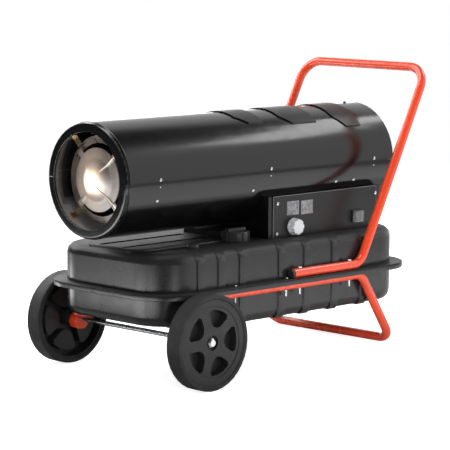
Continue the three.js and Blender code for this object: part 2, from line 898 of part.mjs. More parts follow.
// Wheels: a tyre on a five-spoked moulded hub, both made round Y at the wheel's own middle.
// The hub's outer side has blind pockets between the spokes, and its inner side is hollow.
function wheelParts(word, side) {
  const half = tyreWidth / 2;
  const face = half - hubFaceInset;
  const tyre = turned('y', [
    [rimRadius, -face],
    [rimRadius + tyreShoulder, -half],
    [wheelRadius - tyreShoulder, -half],
    [wheelRadius, -half + tyreShoulder],
    [wheelRadius, half - tyreShoulder],
    [wheelRadius - tyreShoulder, half],
    [rimRadius + tyreShoulder, half],
    [rimRadius, face],
  ], 0, 0, tyreSides);

  const rim = rimRadius - seat;
  const bore = axleDiameter / 2 + seat;
  const bossEnd = wheelSide - tubeSide - tubeRadius - seat;
  const disc = turned('y', [
    [bore, -bossEnd],
    [hubBossRadius, -bossEnd],
    [hubBossRadius, -face],
    [rim, -face],
    [rim, face],
    [hubDishRadius, face],
    [hubDishRadius - hubDish, face - hubDish],
    [hubBossRadius, face - hubDish],
    [hubBossRadius, face - hubNutDepth],
    [bore, face - hubNutDepth],
  ], 0, 0, tyreSides);
  const turns = Array.from({ length: spokeCount }, (_, i) => (2 * Math.PI * (i + 0.5)) / spokeCount);
  const pockets = turns.map((turn) => wheelPocket(turn, 0, face - pocketDepth, face + overrun));
  const cups = turns.map((turn) => wheelPocket(turn, hubWall, face - pocketDepth - hubWall, face));
  const ceiling = face - hubDish - hubWall;
  const root = hubBossRadius + hubWall;
  const cavity = pipe('y', rim - hubWall, root, -face - overrun, ceiling, 0, 0, tyreSides);
  const hub = cut(disc, cut(cavity, ...cups), ...pockets);

  const group = new THREE.Group();
  group.add(named(`tyre_${word}`, tyre, finishes.tyreBlack));
  group.add(named(`wheel_hub_${word}`, hub, finishes.hubBlack));
  group.position.y = side * wheelSide;
  group.rotation.z = side > 0 ? 0 : Math.PI;
  return group;
}

// One pocket between two spokes: a sector of the disc with its corners rounded off.
function wheelPocket(middle, grow, from, to) {
  const outer = pocketOuterRadius + grow;
  const inner = pocketInnerRadius - grow;
  const spoke = spokeWidth / 2 - grow;
  const edge = (radius) => Math.PI / spokeCount - Math.asin(spoke / radius);
  const place = (radius, turn) => [radius * Math.cos(middle + turn), radius * Math.sin(middle + turn)];
  const points = [place(outer - pocketCorner, -edge(outer - pocketCorner))];
  const reach = edge(outer) - pocketCorner / outer;
  for (let i = 0; i <= cornerSteps / 2; i += 1) {
    points.push(place(outer, reach * ((4 * i) / cornerSteps - 1)));
  }
  points.push(place(outer - pocketCorner, edge(outer - pocketCorner)));
  const core = edge(inner + pocketCorner);
  points.push(place(inner + pocketCorner, core));
  points.push(place(inner, core * pocketFlatShare));
  points.push(place(inner, -core * pocketFlatShare));
  points.push(place(inner + pocketCorner, -core));
  return sideBlock(polygon(points), from, to);
}

function axleParts() {
  const nutFloor = wheelSide + tyreWidth / 2 - hubFaceInset - hubNutDepth + seat;
  const axleEnd = nutFloor + hubNutDepth / 2;
  const parts = [named('axle', rod('y', axleDiameter / 2, -axleEnd, axleEnd, 0, 0), finishes.zinc)];
  const socket = axleDiameter / 2 + seat;
  const [crownShare, sideShare] = nutShoulderShares;
  const profile = [
    [0, axleEnd + seat],
    [socket, axleEnd + seat],
    [socket, nutFloor],
    [hubNutRadius, nutFloor],
    [hubNutRadius, nutFloor + hubNutDepth * sideShare],
    [hubNutRadius * crownShare, nutFloor + hubNutDepth],
    [0, nutFloor + hubNutDepth],
  ];
  for (const [word, side] of Object.entries(sides)) {
    const nut = named(`axle_cap_${word}`, turned('y', profile, 0, 0, roundSides), finishes.zinc);
    nut.rotation.z = side > 0 ? 0 : Math.PI;
    parts.push(nut);
  }
  return parts;
}

// Barrel: upper and lower half shells with a turned-in mouth ring, lapped along both sides
function barrelShells() {
  const r = barrelRadius;
  const x0 = barrelFront;
  const bend = shoulderRadius;
  const soft = bend * (1 - Math.SQRT1_2);
  const bead = x0 + beadBack;
  const outside = [
    [mouthRadius, x0 + mouthLip],
    [mouthRadius, x0],
    [r - bend, x0],
    [r - soft, x0 + soft],
    [r, x0 + bend],
    [r, bead - beadWidth / 2],
    [r + beadHeight, bead],
    [r, bead + beadWidth / 2],
    [r, barrelRear],
  ];
  const inside = [
    [r - shellSheet, barrelRear],
    [r - shellSheet, x0 + bend],
    [r - soft - shellSheet / 2, x0 + soft + shellSheet / 2],
    [r - bend, x0 + shellSheet],
    [mouthRadius + shellSheet, x0 + shellSheet],
    [mouthRadius + shellSheet, x0 + mouthLip],
  ];
  const tube = turned('x', [...outside, ...inside].reverse(), 0, barrelAxis, shellSides);
  const wide = barrelDiameter;
  const slab = (low, high) => {
    return box(x0 - overrun, barrelRear + overrun, -wide, wide, barrelAxis + low, barrelAxis + high);
  };
  const upper = join(tube.intersect(slab(seamGap / 2, wide)), ...shellPads());

  const lapOuter = barrelInner - seat;
  const lapFront = x0 + bend + shellSheet;
  const lapRear = barrelRear - guardInset * 2;
  const ringOf = (outer) => {
    return pipe('x', outer, lapOuter - shellSheet, lapFront, lapRear, 0, barrelAxis, shellSides);
  };
  const lap = ringOf(lapOuter).intersect(slab(-seamGap / 2 - lapDrop / 2, lapRise));
  const root = ringOf(barrelInner + seat).intersect(slab(-lapDrop, -seamGap / 2));
  const holeTop = barrelAxis - barrelRadius / 2;
  const serviceHole = rod('z', serviceHoleRadius, barrelAxis - wide, holeTop, fuelLineBack, 0, smallSides);
  const lower = cut(join(tube.intersect(slab(-wide, -seamGap / 2)), lap, root), serviceHole);
  return [
    named('barrel_upper_shell', upper, finishes.blackPaint),
    named('barrel_lower_shell', lower, finishes.blackPaint),
  ];
}

// Three pressed pads over the rear of the upper shell, with their front corners cut off.
function shellPads() {
  return padFrontShares.map((share, i) => {
    const front = barrelFront + share * barrelLength;
    const rear = barrelFront + padRearShares[i] * barrelLength;
    const half = padHalfWidthShares[i] * barrelRadius;
    const inner = barrelInner + shellSheet / 2;
    const skin = pipe('x', barrelRadius + padHeight, inner, front, rear, 0, barrelAxis, shellSides);
    const plan = polygon([
      [front + padCorner, -half],
      [rear + overrun, -half],
      [rear + overrun, half],
      [front + padCorner, half],
      [front, half - padCorner],
      [front, -half + padCorner],
    ]);
    return skin.intersect(block(plan, barrelAxis, barrelAxis + barrelDiameter));
  });
}

// Base housing between tank and barrel, open to the barrel above, with the control panel on its side
function baseHousing() {
  const t = housingSheet;
  const half = housingHalfWidth;
  const from = housingFront - overrun;
  const to = housingRear + overrun;
  const shellClear = rod('x', barrelRadius + seat * 2, from, to, 0, barrelAxis, shellSides);
  const saddleClear = box(
    from,
    saddleFront + saddleLength + seat,
    -saddleWidth / 2 - seat,
    saddleWidth / 2 + seat,
    housingBottom - overrun,
    saddleTop + seat,
  );
  const outer = box(housingFront, housingRear, -half, half, housingBottom, housingTop);
  const wide = half - t;
  const floor = housingBottom + t;
  const inner = box(housingFront + t, housingRear - t, -wide, wide, floor, housingTop - t);
  const windowPane = box(
    panelFront + panelWindowMargin,
    panelFront + panelLength - panelWindowMargin,
    -half - overrun,
    -half + t + overrun,
    panelBottom + panelWindowMargin,
    panelTop - panelWindowMargin,
  );
  const throat = glandRadius * glandThroatShares[0] + seat;
  const glandHole = rod('x', throat, housingRear - overrun, to, glandSide, glandHeight, smallSides);
  const housing = cut(outer, inner, shellClear, saddleClear, windowPane, glandHole);
  return named('base_housing', housing, finishes.blackPaint);
}

function cableGland() {
  const flange = housingRear + seat;
  const throat = glandRadius * glandThroatShares[0];
  const bore = glandRadius * glandThroatShares[1];
  const [edgeShare, endShare, crownShare] = glandNutShares;
  const profile = [
    [bore, flange - glandLength / 2],
    [throat, flange - glandLength / 2],
    [throat, flange],
    [glandRadius, flange],
    [glandRadius, flange + glandLength * edgeShare],
    [glandRadius * crownShare, flange + glandLength * endShare],
    [bore, flange + glandLength * endShare],
  ];
  const gland = turned('x', profile.reverse(), glandSide, glandHeight, smallSides);
  return named('cable_gland', gland, finishes.darkPlastic);
}

function controlPanel() {
  const front = panelFace - overrun;
  const back = panelBackFace + overrun;
  const plate = box(panelFront, panelFront + panelLength, panelFace, panelBackFace, panelBottom, panelTop);
  const spindle = rod('y', knobSpindleRadius + seat, front, back, knobX, knobZ, smallSides);
  const w = switchWidth / 2 - switchRim / 2;
  const h = switchHeight / 2 - switchRim / 2;
  const opening = box(switchX - w, switchX + w, front, back, switchZ - h, switchZ + h);
  return named('control_panel', cut(plate, spindle, opening), finishes.blackPaint);
}

// The knob turns on the thermostat's spindle, and is made round Y at the panel's face.
function thermostatParts() {
  const half = thermostatSize / 2;
  const back = panelBackFace + seat;
  const bottom = knobZ - thermostatDrop;
  const body = box(knobX - half, knobX + half, back, back + thermostatDepth, bottom, knobZ + half);
  const spindleEnd = panelFace - knobSpindleLength;
  const spindle = rod('y', knobSpindleRadius, spindleEnd, back + seat, knobX, knobZ, smallSides);

  const front = -seat;
  const rear = -knobDepth;
  const [faceShare, edgeShare, rootShare] = knobFaceShares;
  const skirt = turned('y', [
    [0, rear],
    [knobRadius * faceShare, rear],
    [knobRadius * edgeShare, rear + knobEdge],
    [knobRadius * rootShare, front - knobSkirt - seat],
    [knobRadius, front - knobSkirt],
    [knobRadius, front],
    [0, front],
  ], 0, 0, roundSides);
  const flutes = [];
  for (let i = 0; i < knobLobes; i += 1) {
    const turn = (2 * Math.PI * (i + 0.5)) / knobLobes;
    const reach = knobRadius * knobFluteShare;
    const x = reach * Math.cos(turn);
    const z = reach * Math.sin(turn);
    flutes.push(rod('y', knobFluteRadius, rear - overrun, front - knobSkirt - seat * 2, x, z, boreSides));
  }
  const blindEnd = -knobSpindleLength - seat;
  const bore = rod('y', knobSpindleRadius + seat, blindEnd, front + overrun, 0, 0, smallSides);
  const knob = named('thermostat_knob', cut(skirt, bore, ...flutes), finishes.greyPlastic);
  knob.position.set(knobX, panelFace, knobZ);
  return [named('thermostat_body', join(body, spindle), finishes.darkPlastic), knob];
}

// A box centred on the switch, from one depth to another.
function switchBox(halfWidth, halfHeight, y0, y1) {
  return box(switchX - halfWidth, switchX + halfWidth, y0, y1, switchZ - halfHeight, switchZ + halfHeight);
}

// The rocker stands tipped in its frame and turns about a pin line across the frame's middle.
function switchParts() {
  const w = switchWidth / 2;
  const h = switchHeight / 2;
  const rim = switchRim;
  const face = panelFace - seat;
  const front = face - switchRimDepth;
  const bezel = switchBox(w, h, front, face);
  const bodyGap = rim / 2 + seat;
  const body = switchBox(w - bodyGap, h - bodyGap, face - switchBodyProud, face + switchBodyDepth);
  const well = switchBox(w - rim, h - rim, front - overrun, face + switchBodyDepth / 2);
  const frame = cut(join(bezel, body), well);

  const keyW = w - rim - seat;
  const keyH = h - rim - seat * 3;
  const depth = switchRimDepth;
  const key = polygon([
    [-depth, -keyH],
    [depth, -keyH * rockerBackShare],
    [depth, keyH * rockerBackShare],
    [-depth, keyH],
    [-depth * rockerDishShare, 0],
  ]);
  const geometry = new THREE.ExtrudeGeometry(key, { depth: keyW * 2, steps: 1, bevelEnabled: false });
  geometry.translate(0, 0, -keyW);
  geometry.rotateX(Math.PI / 2);
  geometry.rotateZ(Math.PI / 2);
  const rocker = named('switch_rocker', toSolid(geometry), finishes.darkPlastic);
  rocker.position.set(switchX, face - switchRimDepth / 3, switchZ);
  rocker.rotation.x = THREE.MathUtils.degToRad(rockerThrow);

  const lid = front - seat;
  const outer = coverInset;
  const inner = coverInset + coverWall;
  const cover = cut(
    switchBox(w - outer, h - outer, lid - coverDepth, lid),
    switchBox(w - inner, h - inner, lid - coverDepth + coverWall, lid + overrun),
  );
  return [
    named('switch_frame', frame, finishes.darkPlastic),
    named('switch_cover', cover, finishes.clearPlastic),
    rocker,
  ];
}

function controlBoard() {
  const x = panelFront + panelLength / 2;
  const z = (panelBottom + panelTop) / 2;
  const back = panelBackFace + seat;
  const y = back + boardStandoff;
  const slab = (length, height, depth) => {
    return box(x - length / 2, x + length / 2, y, y + depth, z - height / 2, z + height / 2);
  };
  const reachX = boardLength / 2 - standoffRadius * 2;
  const reachZ = boardHeight / 2 - standoffRadius * 2;
  const end = y + boardSheet / 2;
  const pillars = [];
  for (const along of [x - reachX, x + reachX]) {
    for (const up of [z - reachZ, z + reachZ]) {
      pillars.push(rod('y', standoffRadius, back, end, along, up, boreSides));
    }
  }
  const board = slab(boardLength, boardHeight, boardSheet);
  const relay = slab(relayLength, relayHeight, boardStandoff);
  return named('control_board', join(board, relay, ...pillars), finishes.circuitGreen);
}

function ignitionTransformer() {
  const floor = housingBottom + housingSheet + seat;
  const x = housingRear - transformerLength;
  const y = (housingHalfWidth + saddleWidth / 2) / 2;
  const slab = (length, width, height) => {
    return box(x - length / 2, x + length / 2, y - width / 2, y + width / 2, floor, floor + height);
  };
  const body = slab(transformerLength, transformerWidth, transformerHeight);
  const foot = slab(transformerLength + transformerFootReach * 2, transformerFootWidth, transformerFoot);
  return named('ignition_transformer', join(body, foot), finishes.castMetal);
}

// Combustion chamber: a thin drum with a coned tail, and a dished baffle before its mouth
function combustionChamber() {
  const s = chamberSheet;
  const cone = chamberRear - chamberConeLength;
  const mouth = chamberRadius - chamberRingWidth;
  const tailHole = headRadius + seat;
  const profile = [
    [mouth, chamberFront],
    [chamberRadius, chamberFront],
    [chamberRadius, cone],
    [chamberTailRadius, chamberRear],
    [tailHole, chamberRear],
    [tailHole, chamberRear - s],
    [chamberTailRadius - s, chamberRear - s],
    [chamberRadius - s, cone - s],
    [chamberRadius - s, chamberFront + s],
    [mouth, chamberFront + s],
  ];
  return named('combustion_chamber', turned('x', profile, 0, barrelAxis, drumSides), finishes.stainless);
}

// A box made beside the barrel's axis, then turned round it: x along, r out, half to each side.
function spoke(x0, x1, r0, r1, width, turn) {
  const geometry = new THREE.BoxGeometry(x1 - x0, r1 - r0, width);
  geometry.translate((x0 + x1) / 2, (r0 + r1) / 2, 0);
  geometry.rotateX(turn);
  geometry.translate(0, 0, barrelAxis);
  return toSolid(geometry);
}

// Each of the baffle's tabs runs out to the chamber's ring, steps back to it and lies flat on it.
function flameBaffle() {
  const s = chamberSheet;
  const x = chamberFront - baffleLead;
  const rim = x + baffleRimLift;
  const dome = baffleDomeShares.map(([radiusShare, riseShare]) => {
    return [baffleDomeRadius * radiusShare, x - baffleDomeHeight * riseShare];
  });
  const outside = [[0, x - baffleDomeHeight], ...dome, [baffleDomeRadius, x], [baffleRadius, rim]];
  const inside = outside.map(([radius, along]) => [radius, along + s]).reverse();
  const disc = turned('x', [...outside, ...inside], 0, barrelAxis, drumSides);
  const tabs = [];
  const ring = chamberRadius - baffleTabSeat;
  const back = chamberFront - seat;
  for (let i = 0; i < baffleTabs; i += 1) {
    const turn = THREE.MathUtils.degToRad(baffleTabTurn) + (2 * Math.PI * i) / baffleTabs;
    tabs.push(spoke(rim, rim + s, baffleRadius - baffleTabRoot, ring, baffleTabWidth, turn));
    tabs.push(spoke(rim, back, ring - s, ring, baffleTabWidth, turn));
    tabs.push(spoke(back - s, back, ring - s, ring - s + baffleToe, baffleTabWidth, turn));
  }
  return named('flame_baffle', join(disc, ...tabs), finishes.stainless);
}

// Four bent straps that hang the front of the chamber in the barrel.
function chamberBrackets() {
  const inner = chamberRadius + seat;
  const half = bracketWidth / 2;
  const outer = Math.sqrt(shellClearRadius * shellClearRadius - half * half);
  const s = bracketSheet;
  const x = chamberFront + bracketSetback;
  return bracketTurns.map((degrees, i) => {
    const turn = THREE.MathUtils.degToRad(degrees);
    const strap = spoke(x, x + s, inner, outer, bracketWidth, turn);
    const low = spoke(x, x + bracketFoot, inner, inner + s, bracketWidth, turn);
    const high = spoke(x + s - bracketFoot, x + s, outer - s, outer, bracketWidth, turn);
    return named(`chamber_bracket_${i + 1}`, join(strap, low, high), finishes.goldZinc);
  });
}

// A flat spider: a ring with three arms whose bent ends reach the barrel's wall.
function spider(name, holeRadius, ringRadius, x) {
  const half = armWidth / 2;
  const tip = Math.sqrt(shellClearRadius * shellClearRadius - half * half);
  const ring = pipe('x', ringRadius, holeRadius, x, x + armSheet, 0, barrelAxis, drumSides);
  const arms = [];
  for (let i = 0; i < armCount; i += 1) {
    const turn = THREE.MathUtils.degToRad(armTurn) + (2 * Math.PI * i) / armCount;
    arms.push(spoke(x, x + armSheet, (holeRadius + ringRadius) / 2, tip, armWidth, turn));
    arms.push(spoke(x, x + armWidth / 2, tip - armSheet, tip, armWidth, turn));
  }
  return named(name, join(ring, ...arms), finishes.blackPaint);
}

// Burner: a slotted swirl cup round the nozzle, with two electrodes and a flame sensor
function burnerParts() {
  const s = chamberSheet;
  const end = headRear;
  const throat = headRadius * headThroatShare;
  const cup = turned('x', [
    [throat, headFront],
    [headRadius, headFront],
    [headRadius, end],
    [headRadius - s, end],
    [headRadius - s, headFront + s],
    [throat, headFront + s],
  ], 0, barrelAxis, drumSides);
  const back = pipe('x', headRadius, nozzleRadius + seat, end - s, end, 0, barrelAxis, drumSides);
  const slots = [];
  for (let i = 0; i < headSlots; i += 1) {
    const [from, to] = [headSlotRadius - headSlotLength / 2, headSlotRadius + headSlotLength / 2];
    slots.push(spoke(end - overrun, end + overrun, from, to, headSlotWidth, (2 * Math.PI * i) / headSlots));
  }
  const turn = THREE.MathUtils.degToRad(electrodeTurn);
  const electrodeY = electrodeReach * Math.cos(turn);
  const electrodeZ = barrelAxis + electrodeReach * Math.sin(turn);
  const wireHole = (y) => {
    return rod('x', electrodeRadius + seat, end - overrun, end + overrun, y, electrodeZ, boreSides);
  };
  const head = cut(join(cup, back), ...slots, wireHole(-electrodeY), wireHole(electrodeY));

  const noseEnd = nozzleRear - nozzleLength;
  const shoulder = noseEnd + nozzleNoseLength;
  const [tipShare, noseShare] = nozzleNoseShares;
  const nozzle = turned('x', [
    [0, noseEnd],
    [nozzleRadius * tipShare, noseEnd],
    [nozzleRadius * noseShare, shoulder],
    [nozzleRadius, shoulder],
    [nozzleRadius, nozzleRear],
    [0, nozzleRear],
  ], 0, barrelAxis, smallSides);
  const collar = rod('x', collarRadius, end + seat, end + seat + collarDepth, 0, barrelAxis, nutSides);

  const parts = [
    named('burner_head', head, finishes.stainless),
    named('fuel_nozzle', join(nozzle, collar), finishes.goldZinc),
  ];
  for (const [word, side] of Object.entries(sides)) {
    const y = side * electrodeY;
    const start = end - electrodeSetback;
    const bar = (radius, from, to) => rod('x', radius, from, to, y, electrodeZ, boreSides);
    const ceramic = bar(electrodeRadius, start, start + electrodeLength);
    const wire = bar(electrodeWireRadius, start - electrodeWireLength, start + overrun);
    parts.push(named(`electrode_${word}`, join(ceramic, wire), finishes.ceramic));
  }
  const cellZ = barrelAxis + photocellRise;
  const cell = rod('x', photocellRadius, end + seat, end + seat + photocellLength, 0, cellZ, smallSides);
  parts.push(named('photocell', cell, finishes.darkPlastic));
  return parts;
}

// Fan, motor and air pump share one shaft along the barrel's axis
function fanDrive() {
  const bore = shaftRadius + seat;
  const core = motorRadius - motorRibDepth;
  const middle = (motorFront + motorRear) / 2;
  const [ribFrom, ribTo] = [middle - motorRibLength / 2, middle + motorRibLength / 2];
  const ribs = [];
  for (let i = 0; i < motorRibs; i += 1) {
    const turn = (2 * Math.PI * (i + 0.5)) / motorRibs;
    ribs.push(spoke(ribFrom, ribTo, core - motorRibDepth, motorRadius, motorRibDepth, turn));
  }
  const can = turned('x', [
    [bore, motorFront],
    [core * motorNoseShare, motorFront],
    [core, motorFront + motorNose],
    [core, motorRear],
    [bore, motorRear],
  ], 0, barrelAxis, roundSides);

  const shaftEnd = pumpRear - pumpDepth / 8;
  const shaft = rod('x', shaftRadius, fanFront, shaftEnd, 0, barrelAxis, smallSides);
  const housing = join(
    pipe('x', pumpRadius, pumpRotorRadius + seat * 2, pumpFront, pumpRear, 0, barrelAxis),
    pipe('x', pumpRadius, bore, pumpFront, pumpFront + armSheet, 0, barrelAxis),
  );
  const rotorFront = pumpFront + armSheet + seat;
  const rotor = pipe('x', pumpRotorRadius, bore, rotorFront, pumpRear - seat, 0, barrelAxis);
  const coverFront = pumpRear + seat;
  const coverRear = coverFront + pumpCoverDepth;
  const cover = turned('x', [
    [0, coverFront],
    [pumpRadius, coverFront],
    [pumpRadius, coverRear - pumpCoverEdge],
    [pumpRadius - pumpCoverEdge, coverRear],
    [0, coverRear],
  ], 0, barrelAxis, roundSides);
  return [
    named('fan_motor', join(can, ...ribs), finishes.castMetal),
    named('motor_shaft', shaft, finishes.zinc),
    fanRotor(bore),
    named('pump_housing', housing, finishes.castMetal),
    named('pump_rotor', rotor, finishes.castMetal),
    named('pump_cover', cover, finishes.castMetal),
    spider('motor_bracket', motorRadius + seat * 2, motorRadius + armWidth / 2, middle),
    spider('burner_plate', headRadius + seat, chamberTailRadius, chamberRear + seat),
  ];
}

// The fan: pressed blades on a hub, each lofted from a steep narrow root to a flat wide tip.
function fanRotor(bore) {
  const hub = pipe('x', fanHubRadius, bore, fanFront, fanFront + fanDepth, 0, barrelAxis);
  const sweep = pipe('x', fanRadius, bore, fanFront, fanFront + fanDepth, 0, barrelAxis, drumSides);
  const blades = [];
  for (let i = 0; i < fanBlades; i += 1) blades.push(fanBlade((2 * Math.PI * i) / fanBlades));
  return named('fan_blades', join(hub, ...blades).intersect(sweep), finishes.castMetal);
}

function fanBlade(turn) {
  const rootRadius = (bladeRoot() + fanHubRadius) / 2;
  const corners = [];
  for (let i = 0; i <= fanBladeSteps; i += 1) {
    const share = i / fanBladeSteps;
    const radius = THREE.MathUtils.lerp(rootRadius, fanRadius, share);
    const width = THREE.MathUtils.lerp(fanRootWidth, fanTipWidth, Math.sqrt(share));
    const half = i === fanBladeSteps ? width / 2 - fanTipRound : width / 2;
    const pitch = THREE.MathUtils.degToRad(THREE.MathUtils.lerp(fanRootPitch, fanTipPitch, share));
    corners.push(bladeSection(radius, half, pitch));
  }
  const positions = corners.flat(2);
  const index = [];
  const quad = (a, b, c, d) => index.push(a, b, c, a, c, d);
  for (let i = 0; i < fanBladeSteps; i += 1) {
    const low = i * 4;
    const high = low + 4;
    for (let j = 0; j < 4; j += 1) quad(low + j, low + ((j + 1) % 4), high + ((j + 1) % 4), high + j);
  }
  const last = fanBladeSteps * 4;
  quad(3, 2, 1, 0);
  quad(last, last + 1, last + 2, last + 3);
  const geometry = new THREE.BufferGeometry();
  geometry.setAttribute('position', new THREE.BufferAttribute(new Float32Array(positions), 3));
  geometry.setIndex(index);
  geometry.rotateX(turn);
  geometry.translate(fanFront + fanDepth / 2, 0, barrelAxis);
  return toSolid(geometry);
}

// The radius in the hub's wall where a blade is rooted.
function bladeRoot() {
  return (fanHubRadius + shaftRadius) / 2;
}

// One section of a blade: a thin tilted rectangle that stands at a radius along Z.
function bladeSection(radius, half, pitch) {
  const along = [Math.sin(pitch) * half, Math.cos(pitch) * half];
  const thick = [(Math.cos(pitch) * fanBladeSheet) / 2, (-Math.sin(pitch) * fanBladeSheet) / 2];
  return [[-1, -1], [1, -1], [1, 1], [-1, 1]].map(([a, b]) => {
    return [a * along[0] + b * thick[0], a * along[1] + b * thick[1], radius];
  });
}

// Rear guard: rings of wire on straight spokes, held just inside the rear edge of the shells
function rearGuard() {
  const x = barrelRear - guardInset;
  const w = guardWire;
  const outerRing = barrelInner - seat - w;
  const wires = [];
  for (let i = 0; i < guardRings; i += 1) {
    const ring = THREE.MathUtils.lerp(guardEyeRadius, outerRing, i / (guardRings - 1));
    const profile = [[ring + w, x], [ring, x + w], [ring - w, x], [ring, x - w]];
    wires.push(turned('x', profile, 0, barrelAxis, i === 0 ? smallSides : drumSides));
  }
  for (let i = 0; i < guardSpokes; i += 1) {
    const wire = new THREE.CylinderGeometry(w, w, outerRing - guardEyeRadius, wireSides);
    wire.translate(x, (outerRing + guardEyeRadius) / 2, 0);
    wire.rotateX((2 * Math.PI * (i + 0.5)) / guardSpokes);
    wire.translate(0, 0, barrelAxis);
    wires.push(toSolid(wire));
  }
  return named('rear_guard', join(...wires), finishes.zinc);
}

// Fuel rises from the tank through the saddle and the barrel's floor, then turns to the nozzle.
function fuelLine() {
  const line = bentTube([
    [fuelLineBack, 0, tankBottom + tankFillet],
    [fuelLineBack, 0, barrelAxis],
    [nozzleRear + seat, 0, barrelAxis],
  ], [lineBendRadius], lineRadius, 0, boreSides);
  return named('fuel_line', line, finishes.copper);
}

// Everything goes together level, then leans back on the wheels until the foot bar touches down
function leanAngle() {
  const reach = Math.hypot(footBack, footDrop);
  return Math.asin((standRadius - tubeRadius) / reach) - Math.atan2(footDrop, footBack);
}

const heater = new THREE.Group();
const cart = new THREE.Group();
const tank = new THREE.Group();
const barrel = new THREE.Group();
const controls = new THREE.Group();

const lean = leanAngle();
const wheelLeft = wheelParts('left', 1);
const wheelRight = wheelParts('right', -1);
wheelLeft.rotation.y = -lean;
wheelRight.rotation.y = -lean;
cart.add(cartFrame(), handleFrame(), ...handlePlugs(), ...frameBolts(), ...axleParts());
cart.add(wheelLeft, wheelRight);
tank.add(...tankParts(), drainPlug(), fuelGauge(), ...fillerParts());
barrel.add(...barrelShells(), combustionChamber(), flameBaffle(), ...chamberBrackets(), ...burnerParts());
barrel.add(...fanDrive(), rearGuard(), fuelLine());
controls.add(baseHousing(), cableGland(), controlPanel(), ...thermostatParts(), ...switchParts());
controls.add(controlBoard(), ignitionTransformer());
heater.add(cart, tank, barrel, controls);
heater.rotation.y = lean;
heater.position.z = standRadius;

const assembly = new THREE.Group();
assembly.add(heater);
assembly.updateMatrixWorld(true);
const bounds = new THREE.Box3().setFromObject(assembly, true);
heater.position.x -= (bounds.min.x + bounds.max.x) / 2;
heater.position.z -= bounds.min.z;

export default assembly;
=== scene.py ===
"""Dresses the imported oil-fired heater: finishes, fastenings, panel trim and a plain stage."""

import json
import math

import bmesh
import bpy
from bpy.props import FloatProperty, FloatVectorProperty, IntProperty, PointerProperty
from mathutils import Matrix, Vector


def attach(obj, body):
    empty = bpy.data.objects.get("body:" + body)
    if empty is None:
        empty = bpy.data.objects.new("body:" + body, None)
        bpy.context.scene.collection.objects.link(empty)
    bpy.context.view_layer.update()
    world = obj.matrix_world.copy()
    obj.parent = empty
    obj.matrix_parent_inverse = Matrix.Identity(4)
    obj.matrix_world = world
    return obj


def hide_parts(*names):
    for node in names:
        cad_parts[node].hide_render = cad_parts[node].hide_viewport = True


bl_info = {
    "name": "Oil-fired heater dresser",
    "version": (1, 0, 0),
    "blender": (4, 5, 0),
    "location": "3D View > Sidebar > Heater",
    "description": "Finishes and small fittings for an oil-fired heater on a two-wheeled cart",
    "category": "Object",
}

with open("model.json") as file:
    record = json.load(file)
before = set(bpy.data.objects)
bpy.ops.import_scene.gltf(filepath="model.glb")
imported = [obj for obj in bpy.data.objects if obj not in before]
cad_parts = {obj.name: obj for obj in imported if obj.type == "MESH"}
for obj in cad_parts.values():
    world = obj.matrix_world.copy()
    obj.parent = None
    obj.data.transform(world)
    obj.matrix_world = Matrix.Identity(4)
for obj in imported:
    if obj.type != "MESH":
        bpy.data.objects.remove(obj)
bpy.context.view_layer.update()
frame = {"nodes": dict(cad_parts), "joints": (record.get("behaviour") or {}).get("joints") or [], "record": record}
JOINTS = {joint["name"]: joint for joint in frame["joints"]}
AXLE = Vector((JOINTS["wheel_left_roll"]["pos_m"][0], 0.0, JOINTS["wheel_left_roll"]["pos_m"][2]))
BARREL_AXIS = Vector(JOINTS["fan_spin"]["axis"])
LEAN = math.atan2(-BARREL_AXIS.z, BARREL_AXIS.x)
LEVEL = Matrix.Translation(AXLE) @ Matrix.Rotation(LEAN, 4, "Y")
MM = 0.001

# The heater's own measures, in millimetres from the middle of the axle with the cart level
BARREL_RADIUS = 139.2
BARREL_HEIGHT = 371.8
BARREL_MOUTH = -158.0
PANEL_FACE = -146.3
TUBE_SIDE = 212.0
TUBE_RADIUS = 11.5
# Centre of the painted glow on the flame baffle
PAINTED_GLOW_CENTRE = (-136.0, 20.0, BARREL_HEIGHT - 4.0)

# The camera that took the photo: place in metres, turn in degrees, lens and sensor in millimetres
CAMERA_PLACE = (-4.08749, -4.07824, 1.21049)
CAMERA_TURN = (81.3049, 0.921, -44.9263)
CAMERA_LENS = 185.83
CAMERA_SENSOR = 36.0

# Corners of each bent tube's middle line, and the radius of the bend at each inner corner
CART_ROUTE = (
    (0.0, -TUBE_SIDE, -18.0),
    (0.0, -TUBE_SIDE, 98.0),
    (579.0, -TUBE_SIDE, 98.0),
    (697.0, -TUBE_SIDE, -82.0),
    (697.0, TUBE_SIDE, -82.0),
    (579.0, TUBE_SIDE, 98.0),
    (0.0, TUBE_SIDE, 98.0),
    (0.0, TUBE_SIDE, -18.0),
)
CART_BENDS = (42.0, 42.0, 38.0, 38.0, 42.0, 42.0)
HANDLE_ROUTE = (
    (329.5, -TUBE_SIDE, 124.8),
    (575.0, -TUBE_SIDE, 124.8),
    (824.0, -TUBE_SIDE, 609.0),
    (824.0, TUBE_SIDE, 609.0),
    (575.0, TUBE_SIDE, 124.8),
    (329.5, TUBE_SIDE, 124.8),
)
HANDLE_BENDS = (42.0, 56.0, 56.0, 42.0)


# Helpers for modelling in the level frame


def deselect():
    """Leaves nothing selected, so that an operator acts on the new piece alone."""
    if bpy.context.object and bpy.context.object.mode != "OBJECT":
        bpy.ops.object.mode_set(mode="OBJECT")
    bpy.ops.object.select_all(action="DESELECT")


def choose(piece):
    """Leaves the piece alone selected and active."""
    deselect()
    piece.select_set(True)
    bpy.context.view_layer.objects.active = piece


def active(name):
    """Names the piece just added and gives it back."""
    piece = bpy.context.object
    piece.name = name
    piece.data.name = name
    return piece


